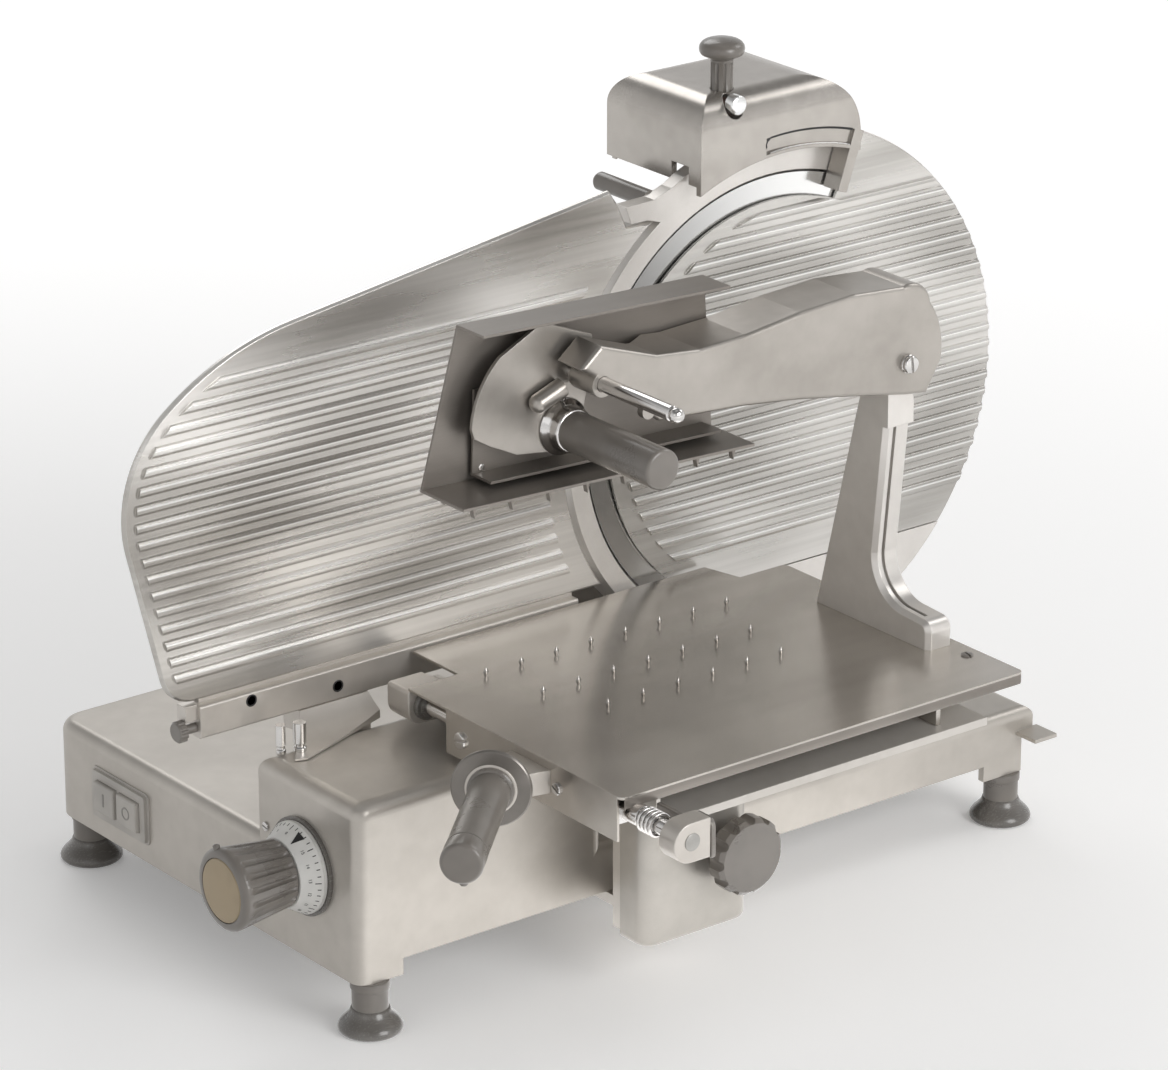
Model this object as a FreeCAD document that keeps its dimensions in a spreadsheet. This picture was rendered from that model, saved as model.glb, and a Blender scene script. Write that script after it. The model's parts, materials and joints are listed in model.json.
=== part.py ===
"""A vertical meat slicer with a 350 mm blade, as a parametric document.

Frame: +X runs to the right along the carriage stroke, +Y runs back through the blade
and +Z is up. The feet stand on z = 0 and the origin is under the middle of the machine.
Inside this file places are worked out in machine coordinates, whose x and y start at
the front left corner of the base casting, and every sub-part is then moved by one shift.
All sizes are in millimetres.
"""
import FreeCAD, Part
import math
import os
import Sketcher

V = FreeCAD.Vector
NEAR = 0.01

SIZES = {
    # base casting
    "base_length": 623, "base_depth": 395, "leg_bottom": 40, "skirt_rise": 12.6, "leg_width": 38,
    "deck_top": 115.6, "block_length": 218, "block_depth": 120, "block_top": 176.5,
    "beam_top": 91, "trough_depth": 125, "casting_wall": 6, "block_round": 11, "deck_round": 9,
    "beam_round": 8, "corner_round": 22, "lip_length": 11, "lip_height": 17, "tab_bottom": 71,
    "tab_thick": 3, "tab_reach": 22, "tab_side": 5, "cover_sheet": 2, "cover_gap": 0.5,
    # feet
    "foot_inset_left": 16, "foot_inset_right": 11, "foot_inset_front": 10, "foot_inset_back": 18,
    "foot_back_left": 4, "foot_back_right": 6, "stem_radius": 13.3, "foot_radius": 23.5,
    "bell_height": 18,
    # slice thickness dial
    "dial_y": 66.5, "dial_z": 110.7, "ring_radius": 34, "ring_length": 5, "backing_radius": 36.5,
    "backing_length": 2.5, "knob_radius": 29, "knob_length": 62, "cap_radius": 17,
    "cap_length": 3, "dial_shaft_radius": 7, "cam_small": 10, "cam_length": 14, "cam_gap": 0.3,
    "cam_turn": 300, "flute_radius": 2.4, "flute_depth": 1.7, "follower_low": 93,
    "follower_high": 105,
    # switch on the left side
    "switch_y": 301, "switch_z": 75, "bezel_width": 70, "bezel_height": 37, "bezel_proud": 3.5,
    "button_width": 26, "button_height": 25, "button_proud": 3.5, "button_side": 3,
    "button_middle": 2, "button_gap": 0.5, "bezel_round": 2.5, "button_round": 1.5,
    # gauge plate
    "gauge_reach": 90, "gauge_y": 143.4, "gauge_thick": 4, "gauge_travel": 16,
    "gauge_bottom": 220, "gauge_arc_gap": 3.5, "gauge_arc_rise": 160.8, "gauge_edge_round": 1.8,
    "gauge_low_x": -57.9, "gauge_low_round": 27, "gauge_side_x": -102.6, "gauge_side_z": 400.7,
    "gauge_side_round": 95, "gauge_shoulder_x": -6.2, "gauge_shoulder_z": 475.2,
    "gauge_shoulder_round": 222, "gauge_end_x": 334, "gauge_end_z": 524.1, "rib_count": 17,
    "rib_margin": 9, "rib_arc_margin": 18, "rib_pitch": 13.2, "rib_width": 9, "rib_proud": 2.6,
    "rib_low": 241, "cover_rib_low": 227.8, "bar_left": -36.5, "bar_right": 300,
    "bar_bottom": 193, "bar_top": 217.4, "bar_proud": 6.4, "bar_depth": 14.4, "bar_slot_depth": 8,
    "lug_length": 10, "lug_screw_radius": 8, "column_left": 14, "column_right": 108,
    "column_front": 92, "column_clear": 0.5, "column_wall": 7, "column_toe": 1.5,
    "column_sweep": 55, "slide_left": 52, "slide_width": 49, "slide_depth": 26, "guide_inset": 12,
    "guide_rise": 14, "holder_gap": 10, "holder_thick": 12,
    # blade, its guard and its cover
    "blade_x": 488, "blade_z": 332.6, "blade_radius": 175, "blade_y": 143, "blade_thick": 2.2,
    "blade_dish": 5, "bevel_width": 25, "guard_radius": 213, "rim_right": 4, "rim_down": 3,
    "ring_outer": 192.5, "ring_inner": 177, "guard_front": 142.2, "guard_depth": 33,
    "flange_depth": 12, "recess_depth": 14, "cover_radius": 157.5, "cover_y": 139.4,
    "cover_thick": 2.2, "cover_bottom": 195.5, "cover_edge_gap": 1, "strip_front": 139.4,
    "strip_gap": 1, "guard_foot_left": 402, "guard_foot_right": 606, "deflector_thick": 2,
    "deflector_reach": 72, "deflector_lap": 8,
    # drive
    "shaft_radius": 12.5, "spigot_radius": 8.5, "pulley_radius": 52, "pulley_length": 18,
    "motor_pulley_radius": 18, "motor_radius": 52, "motor_length": 72, "motor_drop": 138,
    "belt_thick": 3, "belt_gap": 0.3, "motor_front": 185, "pulley_front": 262, "bearing_boss": 32,
    "bearing_reach": 72, "shaft_gap": 0.05, "housing_left": 412, "housing_right": 604,
    "housing_depth": 130, "housing_wall": 4, "housing_round": 12, "housing_drop": 10,
    # sharpener
    "sharpener_left_reach": 85, "sharpener_right_reach": 68, "sharpener_nose": 18.2,
    "sharpener_tail": 59.8, "sharpener_rise": 38.4, "sharpener_reach": 198, "sharpener_wall": 5,
    "sharpener_round": 22, "sharpener_left_round": 24, "sharpener_right_round": 48,
    "side_wall_rise": 25, "notch_rise": 11.6, "saddle_gap": 4, "saddle_left": 25,
    "saddle_right": 7, "window_low": 200.5, "window_high": 213, "window_left_reach": 23,
    "window_right_reach": 62, "window_depth": 2.5, "stay_low": 165, "stay_gap": 0.9,
    "stone_radius": 17, "stone_length": 9, "spindle_radius": 5, "top_knob_reach": 45,
    "top_knob_inset": 26, "top_knob_radius": 17, "top_knob_stem": 8.5, "top_knob_rise": 38,
    "top_knob_seat": 4.5, "push_button_reach": 51, "push_button_drop": 9,
    "push_button_radius": 7.5, "push_button_proud": 2, "push_button_length": 12.5,
    "rest_pin_reach": 108, "rest_pin_drop": 36, "rest_pin_radius": 7, "rest_pin_length": 62,
    # carriage
    "pod_left": 194, "pod_right": 291, "pod_front": -77, "pod_back": -48, "pod_bottom": 41,
    "pod_round": 13, "neck_depth": 17, "neck_inset": 7, "bed_bottom": 179.5, "bed_thick": 6,
    "bed_back": 96, "bed_front": -160, "bed_right": 440, "side_plate_x": 137,
    "side_plate_thick": 3.6, "side_plate_top": 211, "rod_x": 117, "rod_z": 200, "rod_radius": 6,
    "block_width": 31, "end_block_top": 213, "end_block_bottom": 186, "front_block_y": -224,
    "front_block_depth": 17, "rear_block_y": 78, "rear_block_depth": 26, "washer_radius": 10,
    "washer_thick": 4, "coil_radius": 8.6, "coil_wire": 1.1, "coil_length": 24, "coil_turns": 5,
    "coil_start": -205, "arm_clear": 2.2, "arm_thick": 8, "arm_half": 20.5, "bearing_length": 60,
    "rail_y": 70, "rail_z": 63.5, "rail_radius": 10, "bearing_block": 34, "guide_radius": 5,
    "lobe_x": 269, "lobe_z": 103, "lobe_radius": 29, "lobe_thick": 16, "lobe_face": -105,
    "lobe_count": 12, "lobe_bite": 4.2,
    # meat table
    "table_left": 103, "table_right": 470, "table_front": -165, "table_back": 134.5,
    "table_top": 215, "table_round": 5, "table_sheet": 2, "table_step_x": 426, "table_step_y": 102,
    "runner_inset": 40, "drain_x": 457.9, "drain_y": -117, "spike_row_back": 65,
    "spike_row_mid": 12, "spike_row_front": -34, "spike_first_back": 160.7,
    "spike_first_mid": 171.6, "spike_first_front": 193.9, "spike_pitch": 31.7, "notch_right": 147,
    "notch_front": 80, "lip_drop": 5, "skirt_bottom": 181, "skirt_back": 35, "side_lip": 9,
    "bush_width": 22, "bush_height": 21, "bush_length": 30, "sleeve_wall": 1.8,
    "rod_clearance": 0.15, "spike_height": 11, "spike_width": 4.6, "spike_thick": 1.8,
    "drain_radius": 4,
    # carriage handle
    "handle_x": 66, "handle_y": -68, "handle_z": 200, "disc_radius": 28.5, "disc_thick": 4,
    "grip_radius": 15, "grip_length": 126, "bracket_height": 17, "bracket_seat": 11,
    "set_screw_radius": 3,
    # press
    "plate_left": -88, "plate_right": 115, "plate_low": 8, "plate_high": 68, "plate_offset": 4.5,
    "plate_lip": 28, "plate_block_inset": 30, "plate_block_rise": 15, "plate_block_height": 20,
    "post_left": 439.6, "post_thick": 24.5, "post_round": 3.5, "post_groove": 3,
    "post_groove_left": 7, "post_ear_radius": 10, "pivot_x": 449.6, "pivot_z": 422.4,
    "pivot_radius": 5, "pin_head_radius": 7, "press_arm_front": -54, "press_arm_back": -7,
    "press_arm_reach": 294.6, "press_arm_round": 3, "press_arm_wall": 6, "fork_gap": 2,
    "head_x": 184.5, "head_width": 255, "head_bottom": 393.7, "head_height": 115, "head_y": 0,
    "head_sheet": 2, "head_tilt": 2.1, "head_flange": 50, "head_top_flange": 31,
    "head_draw_in": 14, "tooth_height": 9, "tooth_inset": 14, "tooth_row": 8, "tooth_radius": 2.2,
    "lobed_plate_thick": 3, "tube_radius": 7, "tube_length": 21, "tube_x": 140, "tube_z": 452,
    "tube_rise": 20, "guide_rod_x": 174, "guide_rod_z": 466, "guide_rod_radius": 5.6,
    "guide_rod_front": -138, "press_grip_x": 165, "press_grip_z": 428, "press_grip_radius": 14.5,
    "press_grip_front": -131, "lobe_y": -20,
    # power inlet on the back wall
    "inlet_inset": 63, "inlet_bore": 3.5, "inlet_flange": 11, "inlet_length": 16,
}


class Size:
    """A length that knows both its value and the expression it comes from."""

    def __init__(self, value, text):
        self.value = float(value)
        self.text = text

    def __add__(self, other):
        other = as_size(other)
        return Size(self.value + other.value, f"({self.text} + {other.text})")

    def __radd__(self, other):
        return as_size(other) + self

    def __sub__(self, other):
        other = as_size(other)
        return Size(self.value - other.value, f"({self.text} - {other.text})")

    def __rsub__(self, other):
        return as_size(other) - self

    def __mul__(self, other):
        other = as_size(other)
        return Size(self.value * other.value, f"({self.text} * {other.text})")

    def __rmul__(self, other):
        return as_size(other) * self

    def __truediv__(self, other):
        other = as_size(other)
        return Size(self.value / other.value, f"({self.text} / {other.text})")

    def __neg__(self):
        return Size(-self.value, f"(-1 * {self.text})")


def as_size(number):
    """Take a plain number or a Size and give a Size."""
    if isinstance(number, Size):
        return number
    return Size(number, f"({number:g})" if number < 0 else f"{number:g}")


def root(size):
    """The square root of a Size."""
    return Size(math.sqrt(size.value), f"sqrt({size.text})")


def leg(long_side, other_side):
    """The second short side of a right triangle, from its long side and one short side."""
    return root(long_side * long_side - other_side * other_side)


def cosine(degrees):
    """The cosine of a fixed angle, as a Size."""
    return Size(math.cos(math.radians(degrees)), f"cos({degrees:g})")


def sine(degrees):
    """The sine of a fixed angle, as a Size."""
    return Size(math.sin(math.radians(degrees)), f"sin({degrees:g})")


def around(centre, radius, degrees):
    """The point of a circle at an angle, counted from +X towards +Z."""
    return centre[0] + radius * cosine(degrees), centre[1] + radius * sine(degrees)


class Sheet:
    """The spreadsheet of driving sizes; its attributes are Sizes."""

    def __init__(self, document, values):
        self.cells = document.addObject("Spreadsheet::Sheet", "Sizes")
        for row, (name, value) in enumerate(values.items(), start=1):
            self.cells.set(f"A{row}", f"{value:g}")
            self.cells.setAlias(f"A{row}", name)
        document.recompute()

    def __getattr__(self, name):
        return Size(SIZES[name], f"Sizes.{name}")


doc = FreeCAD.newDocument("VerticalMeatSlicer")
S = Sheet(doc, SIZES)
subparts = []


# ---------------------------------------------------------------- shared places

left_reach = -S.gauge_reach
rim_x, rim_z = S.blade_x + S.rim_right, S.blade_z - S.rim_down
right_reach = rim_x + S.guard_radius
front_reach = S.front_block_y - S.front_block_depth
back_reach = S.base_depth + S.inlet_length
SHIFT_X = -(left_reach + right_reach) / 2
SHIFT_Y = -(front_reach + back_reach) / 2
base_right = S.base_length
slide_left = S.slide_left
slide_right = S.slide_left + S.slide_width
slide_front = S.block_depth + 4
deck_inside = S.deck_top - S.casting_wall
BLADE, RIM = (S.blade_x, S.blade_z), (rim_x, rim_z)


# ---------------------------------------------------------------- building tools

def bind(thing, name, size):
    """Tie one property of an object to the sheet."""
    thing.setExpression(name, as_size(size).text)


def place(thing, x=0, y=0, z=0, turn=None):
    """Put an object at machine coordinates, moved into the part's own frame."""
    if turn is not None:
        thing.Placement = FreeCAD.Placement(V(0, 0, 0), turn)
    bind(thing, "Placement.Base.x", SHIFT_X + x)
    bind(thing, "Placement.Base.y", SHIFT_Y + y)
    bind(thing, "Placement.Base.z", as_size(z))


def turn_z_to(direction):
    """The rotation that lays a shape's own Z axis along a direction."""
    return FreeCAD.Rotation(V(0, 0, 1), V(*direction))


ALONG_X = FreeCAD.Rotation(V(0, 1, 0), 90)
ALONG_MINUS_X = FreeCAD.Rotation(V(0, 1, 0), -90)
ALONG_Y = FreeCAD.Rotation(V(1, 0, 0), -90)
HEAD_TILT = FreeCAD.Rotation(V(0, 1, 0), SIZES["head_tilt"])
TUBE_TURN = FreeCAD.Rotation(V(0, 1, 0), 90 - SIZES["tube_rise"])


def on_planes(x=None, y=None, z=None, along=None):
    """A test that picks the edges lying in given planes of the piece's own frame."""
    wanted = [(axis, as_size(size).value) for axis, size in zip("XYZ", (x, y, z))
              if size is not None]

    def test(edge):
        reach = edge.BoundBox
        if along and max(getattr(reach, f"{axis}Length") for axis in "XYZ" if axis != along) > NEAR:
            return False
        return all(abs(getattr(reach, f"{axis}Min") - value) < NEAR
                   and abs(getattr(reach, f"{axis}Max") - value) < NEAR
                   for axis, value in wanted)
    return test


class Piece:
    """A PartDesign body that is built up from pads, pockets, turnings and fillets."""

    def __init__(self, label, x=0, y=0, z=0, turn=None, keep=True):
        self.body = doc.addObject("PartDesign::Body", label)
        self.body.Label = label
        place(self.body, x, y, z, turn)
        self.steps = 0
        if keep:
            subparts.append(self.body)

    def feature(self, kind):
        self.steps += 1
        return self.body.newObject(kind, f"{self.body.Name}_{kind.split('::')[1]}_{self.steps}")

    def sketch(self, plane, offset):
        """A sketch on one of the body's origin planes, moved along the plane's normal."""
        sketch = self.feature("Sketcher::SketchObject")
        origin = self.body.Origin.OriginFeatures
        sketch.AttachmentSupport = [(next(f for f in origin if f.Role == f"{plane}_Plane"), "")]
        sketch.MapMode = "FlatFace"
        bind(sketch, "AttachmentOffset.Base.z", offset)
        return sketch

    def draw(self, sketch, outline):
        """Draw a closed outline; each point is (u, v) or (u, v, radius, side of the centre)."""
        points = [tuple(as_size(n) if i < 3 else n for i, n in enumerate(p)) for p in outline]
        following = points[1:] + points[:1]
        ends = []
        for start, stop in zip(points, following):
            a = (start[0].value, start[1].value)
            b = (stop[0].value, stop[1].value)
            if len(start) == 2:
                ends.append((sketch.addGeometry(Part.LineSegment(V(*a, 0), V(*b, 0))), 1, 2))
                continue
            radius, side = start[2].value, (1 if start[3] == "left" else -1)
            chord = math.dist(a, b)
            rise = side * math.sqrt(max(radius ** 2 - chord ** 2 / 4, 0)) / chord
            centre = ((a[0] + b[0]) / 2 - (b[1] - a[1]) * rise, (a[1] + b[1]) / 2 + (b[0] - a[0]) * rise)
            angles = [math.atan2(p[1] - centre[1], p[0] - centre[0]) for p in (a, b)]
            circle = Part.Circle(V(*centre, 0), V(0, 0, 1), radius)
            if side == 1:
                ends.append((sketch.addGeometry(Part.ArcOfCircle(circle, *angles)), 1, 2))
            else:
                ends.append((sketch.addGeometry(Part.ArcOfCircle(circle, *angles[::-1])), 2, 1))
        for (edge, first, last), (next_edge, next_first, _), point in zip(
                ends, ends[1:] + ends[:1], following):
            sketch.addConstraint(Sketcher.Constraint("Coincident", edge, last, next_edge, next_first))
        for (edge, first, last), point in zip(ends, points):
            self.pin(sketch, edge, first, point)
            if len(point) > 2:
                index = sketch.addConstraint(Sketcher.Constraint("Radius", edge, point[2].value))
                bind(sketch, f"Constraints[{index}]", point[2])

    def pin(self, sketch, edge, end, point):
        """Hold one point of a sketch at its place."""
        for kind, size in zip(("DistanceX", "DistanceY"), point):
            index = sketch.addConstraint(Sketcher.Constraint(kind, -1, 1, edge, end, size.value))
            bind(sketch, f"Constraints[{index}]", size)

    def draw_circle(self, sketch, centre, radius):
        centre = [as_size(n) for n in centre]
        radius = as_size(radius)
        where = V(centre[0].value, centre[1].value, 0)
        edge = sketch.addGeometry(Part.Circle(where, V(0, 0, 1), radius.value))
        self.pin(sketch, edge, 3, centre)
        index = sketch.addConstraint(Sketcher.Constraint("Radius", edge, radius.value))
        bind(sketch, f"Constraints[{index}]", radius)

    def slab(self, kind, plane, start, stop, outlines):
        """A pad or pocket of outlines that fills the space from start to stop."""
        towards_stop = (kind == "PartDesign::Pad") == (plane != "XZ")
        level = as_size(start if towards_stop else stop)
        sketch = self.sketch(plane, -level if plane == "XZ" else level)
        for outline in outlines:
            if outline[0] == "circle":
                self.draw_circle(sketch, outline[1], outline[2])
            else:
                self.draw(sketch, outline)
        step = self.feature(kind)
        step.Profile = sketch
        bind(step, "Length", as_size(stop) - start)
        doc.recompute()
        return step

    def pad(self, plane, start, stop, *outlines):
        return self.slab("PartDesign::Pad", plane, start, stop, outlines)

    def pocket(self, plane, start, stop, *outlines):
        return self.slab("PartDesign::Pocket", plane, start, stop, outlines)

    def lathe(self, profile):
        """Turn a profile of (radius, height) points about the body's own Z axis."""
        sketch = self.sketch("XZ", 0)
        self.draw(sketch, profile)
        step = self.feature("PartDesign::Revolution")
        step.Profile = sketch
        step.ReferenceAxis = (sketch, ["V_Axis"])
        step.Angle = 360
        doc.recompute()
        return step

    def round(self, radius, *tests, kind="PartDesign::Fillet"):
        """Fillet or chamfer the edges that any of the tests picks."""
        tip = self.body.Tip
        names = [f"Edge{i}" for i, edge in enumerate(tip.Shape.Edges, start=1)
                 if any(test(edge) for test in tests)]
        if not names:
            raise ValueError(f"{self.body.Label}: no edge to round")
        step = self.feature(kind)
        step.Base = (tip, names)
        bind(step, "Radius" if kind.endswith("Fillet") else "Size", radius)
        doc.recompute()
        return step

    def bevel(self, size, *tests):
        return self.round(size, *tests, kind="PartDesign::Chamfer")

    def repeat_round(self, step, count):
        """Repeat a pad or pocket evenly round the body's own Z axis."""
        pattern = self.feature("PartDesign::PolarPattern")
        pattern.Originals = [step]
        origin = self.body.Origin.OriginFeatures
        pattern.Axis = (next(f for f in origin if f.Role == "Z_Axis"), [""])
        pattern.Angle = 360
        bind(pattern, "Occurrences", count)
        self.body.Tip = pattern
        doc.recompute()
        return pattern

    def repeat_along(self, step, axis, length, count):
        """Repeat a pad or pocket along one of the body's axes over a length."""
        pattern = self.feature("PartDesign::LinearPattern")
        pattern.Originals = [step]
        origin = self.body.Origin.OriginFeatures
        pattern.Direction = (next(f for f in origin if f.Role == f"{axis}_Axis"), [""])
        bind(pattern, "Length", length)
        bind(pattern, "Occurrences", count)
        self.body.Tip = pattern
        doc.recompute()
        return pattern


def rectangle(left, low, right, high):
    """A rectangle's corners, from its left low corner round to the left high one."""
    return [(left, low), (right, low), (right, high), (left, high)]


def circle(u, v, radius):
    return ("circle", (u, v), radius)


def box(label, x, y, z):
    """A plain block that fills the spans x, y and z, as a Part primitive."""
    block = doc.addObject("Part::Box", label)
    block.Label = label
    for name, (low, high) in zip(("Length", "Width", "Height"), (x, y, z)):
        bind(block, name, as_size(high) - low)
    place(block, x[0], y[0], z[0])
    subparts.append(block)
    return block


def combine(kind, label, base, tool):
    """A boolean of two objects; the result takes their place as the sub-part."""
    result = doc.addObject(f"Part::{kind}", label)
    result.Label = label
    result.Base = base
    result.Tool = tool
    for used in (base, tool):
        if used in subparts:
            subparts.remove(used)
    subparts.append(result)
    doc.recompute()
    return result


# ---------------------------------------------------------------- base and feet

def base_housing():
    """The cast base: a low deck, a taller block at the front left and an open underside."""
    inner = S.casting_wall
    piece = Piece("base_housing")
    corner = S.corner_round
    piece.pad("XY", S.leg_bottom, S.deck_top, [
        (0, 0), (base_right, 0), (base_right, S.base_depth),
        (corner, S.base_depth, corner, "left"), (0, S.base_depth - corner)])
    piece.pocket("XY", S.beam_top, S.deck_top, rectangle(
        S.block_length, -S.lip_length, base_right + S.lip_length, S.trough_depth))
    piece.pad("XY", S.leg_bottom, S.block_top, rectangle(0, 0, S.block_length, S.block_depth))
    piece.pad("YZ", base_right - inner, base_right + S.lip_length, rectangle(
        0, S.beam_top - S.lip_height, S.trough_depth, S.beam_top))
    piece.round(S.block_round, on_planes(z=S.block_top), on_planes(x=0, y=0),
                on_planes(x=S.block_length, y=0))
    piece.round(S.deck_round, on_planes(x=0, z=S.deck_top), on_planes(y=S.base_depth, z=S.deck_top),
                on_planes(x=base_right, z=S.deck_top))
    piece.round(S.beam_round, on_planes(y=0, z=S.beam_top),
                on_planes(x=base_right + S.lip_length, z=S.beam_top))
    piece.pocket("XY", S.leg_bottom, S.beam_top - inner, rectangle(
        inner, inner, base_right - inner, S.base_depth - inner))
    piece.pocket("XY", S.beam_top - inner, S.block_top - inner, rectangle(
        inner, inner, S.block_length - inner, S.block_depth - inner))
    piece.pocket("XY", S.beam_top - inner, S.deck_top - inner, rectangle(
        inner, S.trough_depth + inner, base_right - inner, S.base_depth - inner))
    piece.pocket("XY", S.beam_top - inner, S.deck_top - inner, rectangle(
        inner, inner, S.block_length - inner, S.base_depth - inner))
    skirt = S.leg_bottom + S.skirt_rise
    piece.pocket("XZ", -S.lip_length, inner + NEAR, rectangle(
        S.leg_width, S.leg_bottom, base_right - S.leg_width, skirt))
    piece.pocket("YZ", -NEAR, inner + NEAR, circle(S.dial_y, S.dial_z, S.dial_shaft_radius),
                 rectangle(S.switch_y - S.button_width - S.button_side, S.switch_z - S.button_height / 2,
                           S.switch_y + S.button_width + S.button_side, S.switch_z + S.button_height / 2))
    half = S.bearing_block / 2
    for left in (inner, base_right - inner - half):
        piece.pad("YZ", left, left + half, rectangle(
            S.rail_y - half, S.rail_z - half, S.rail_y + half, S.rail_z + half))
        piece.pocket("YZ", left, left + half, circle(S.rail_y, S.rail_z, S.rail_radius))
    piece.pad("XY", S.tab_bottom, S.tab_bottom + S.tab_thick, rectangle(
        base_right - inner, -S.tab_reach, base_right + S.lip_length + S.tab_side, 1))
    slot = S.gauge_travel + S.column_wall + 2 * S.column_clear
    piece.pocket("XY", S.deck_top - inner - NEAR, S.deck_top, rectangle(
        slide_left - S.column_clear, slide_front - S.column_clear,
        slide_right + S.column_clear, slide_front + slot - S.column_clear))
    return piece



def feet():
    """Four screwed stems, each with a bell of soft rubber on its end."""
    places = {
        "front_left": (S.foot_inset_left, S.foot_inset_front),
        "front_right": (base_right - S.foot_inset_right, S.foot_inset_front),
        "rear_left": (S.foot_inset_left + S.foot_back_left, S.base_depth - S.foot_inset_back),
        "rear_right": (base_right - S.foot_inset_right - S.foot_back_right,
                       S.base_depth - S.foot_inset_back),
    }
    for name, (x, y) in places.items():
        bell = Piece(f"rubber_foot_{name}", x, y, 0)
        wide, stem, tall = S.foot_radius, S.stem_radius, S.bell_height
        bell.lathe([(0, 0), (wide - 2, 0), (wide, 3), (wide, tall * 0.32, wide - stem + 4, "left"),
                    (stem, tall), (0, tall)])
    stems = Piece("foot_stems")
    stems.pad("XY", S.bell_height, S.leg_bottom, *[circle(x, y, S.stem_radius) for x, y in places.values()])


def bottom_cover():
    """The sheet that closes the back of the underside; the front stays open for the carriage."""
    wall = S.casting_wall + S.cover_gap
    box("bottom_cover", (wall, base_right - wall), (S.trough_depth + wall, S.base_depth - wall),
        (S.leg_bottom + S.cover_gap, S.leg_bottom + S.cover_gap + S.cover_sheet))


# ---------------------------------------------------------------- dial and switch

def dial():
    """The slice thickness dial on the left side: backing, ring, fluted knob, cap and shaft."""
    axis = {"y": S.dial_y, "z": S.dial_z, "turn": ALONG_MINUS_X}
    backing = Piece("dial_backing", x=0, **axis)
    bore = S.dial_shaft_radius + 0.3
    backing.lathe([(bore, 0), (S.backing_radius, 0), (S.backing_radius, S.backing_length),
                   (bore, S.backing_length)])
    ring = Piece("dial_ring", x=-S.backing_length, **axis)
    ring.lathe([(bore, 0), (S.ring_radius, 0), (S.ring_radius, S.ring_length - 2),
                (S.ring_radius - 1.5, S.ring_length), (bore, S.ring_length)])
    base = S.backing_length + S.ring_length + 0.4
    knob = Piece("thickness_knob", x=-base, **axis)
    wide, length, cap = S.knob_radius, S.knob_length, S.cap_radius
    knob.lathe([(S.dial_shaft_radius, 0), (wide - 1.5, 0), (wide, 2), (wide, length - 9),
                (wide - 3, length - 3), (wide - 9, length), (cap, length), (cap, length - S.cap_length),
                (S.dial_shaft_radius, length - S.cap_length)])
    deep, half = S.flute_depth, S.flute_radius
    flute = knob.pocket("XY", -1, length + 1, [
        (wide - deep, 0), (wide + deep, -half * 1.6), (wide + deep, half * 1.6)])
    knob.repeat_round(flute, 22)
    cap_piece = Piece("knob_cap", x=-base - length + S.cap_length, **axis)
    cap_piece.lathe([(0, 0), (cap - 0.2, 0), (cap - 0.2, S.cap_length - 0.6),
                     (cap - 1.2, S.cap_length + 0.4), (0, S.cap_length + 0.8)])
    shaft = Piece("dial_shaft", x=-base - length + S.cap_length, y=S.dial_y, z=S.dial_z, turn=ALONG_X)
    reach = base + length - S.cap_length + S.casting_wall + 8 + S.cam_length + 3
    journal = S.dial_shaft_radius - 0.2
    shaft.lathe([(0, 0), (journal, 0), (journal, reach), (0, reach)])
    cam_left = S.casting_wall + 8
    cam = Piece("thickness_cam")
    growth = S.gauge_travel / S.cam_turn
    spiral = [(S.dial_y + (S.cam_small + growth * turned) * cosine(turned),
               S.dial_z - (S.cam_small + growth * turned) * sine(turned))
              for turned in range(0, 301, 15)]
    cam.pad("YZ", cam_left, cam_left + S.cam_length, spiral[::-1])
    cam.pocket("YZ", cam_left, cam_left + S.cam_length, circle(S.dial_y, S.dial_z, journal))


def switch():
    """The switch on the left side: a bezel with two sprung push buttons."""
    half_w, half_h = S.bezel_width / 2, S.bezel_height / 2
    bezel = Piece("switch_bezel")
    gap, wide, high = S.button_gap, S.button_width, S.button_height
    bezel.pad("YZ", -S.bezel_proud, 0, rectangle(
        S.switch_y - half_w, S.switch_z - half_h, S.switch_y + half_w, S.switch_z + half_h))
    bezel.round(S.bezel_round, on_planes(y=S.switch_y - half_w, along="X"),
                on_planes(y=S.switch_y + half_w, along="X"))
    for name, centre in (("stop_button", S.switch_y - wide / 2 - S.button_middle),
                         ("start_button", S.switch_y + wide / 2 + S.button_middle)):
        y = (centre - wide / 2, centre + wide / 2)
        z = (S.switch_z - high / 2, S.switch_z + high / 2)
        bezel.pocket("YZ", -S.bezel_proud, 0, rectangle(y[0] - gap, z[0] + gap, y[1] + gap, z[1] - gap))
        button = Piece(name)
        front = -S.bezel_proud - S.button_proud
        button.pad("YZ", front, S.casting_wall - 1, rectangle(y[0], z[0] + 2 * gap, y[1], z[1] - 2 * gap))
        button.round(S.button_round, on_planes(x=front))


# ---------------------------------------------------------------- gauge plate

def gauge_outline(inset, arc_inset):
    """The gauge plate's outline, a sail whose right edge runs round the blade guard.

    Each corner moves inwards along the line that halves it, by its own share of the inset.
    """
    arc = S.ring_outer + S.gauge_arc_gap + arc_inset
    low, rise, big = S.gauge_bottom + inset, S.gauge_arc_rise, S.guard_radius
    return [
        (S.gauge_low_x + inset * 0.783, low),
        (S.blade_x - leg(arc, S.blade_z - low), low, arc, "right"),
        (S.blade_x - leg(arc, rise), S.blade_z + rise),
        (S.blade_x - big * 0.645, S.blade_z + rise),
        (S.blade_x - big * 0.688, S.blade_z + big * 0.849),
        (S.gauge_end_x - inset * 0.4, S.gauge_end_z - inset * 1.1),
        (S.gauge_shoulder_x + inset * 0.403, S.gauge_shoulder_z - inset * 0.952),
        (S.gauge_side_x + inset * 1.127, S.gauge_side_z - inset * 0.392)]


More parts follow.
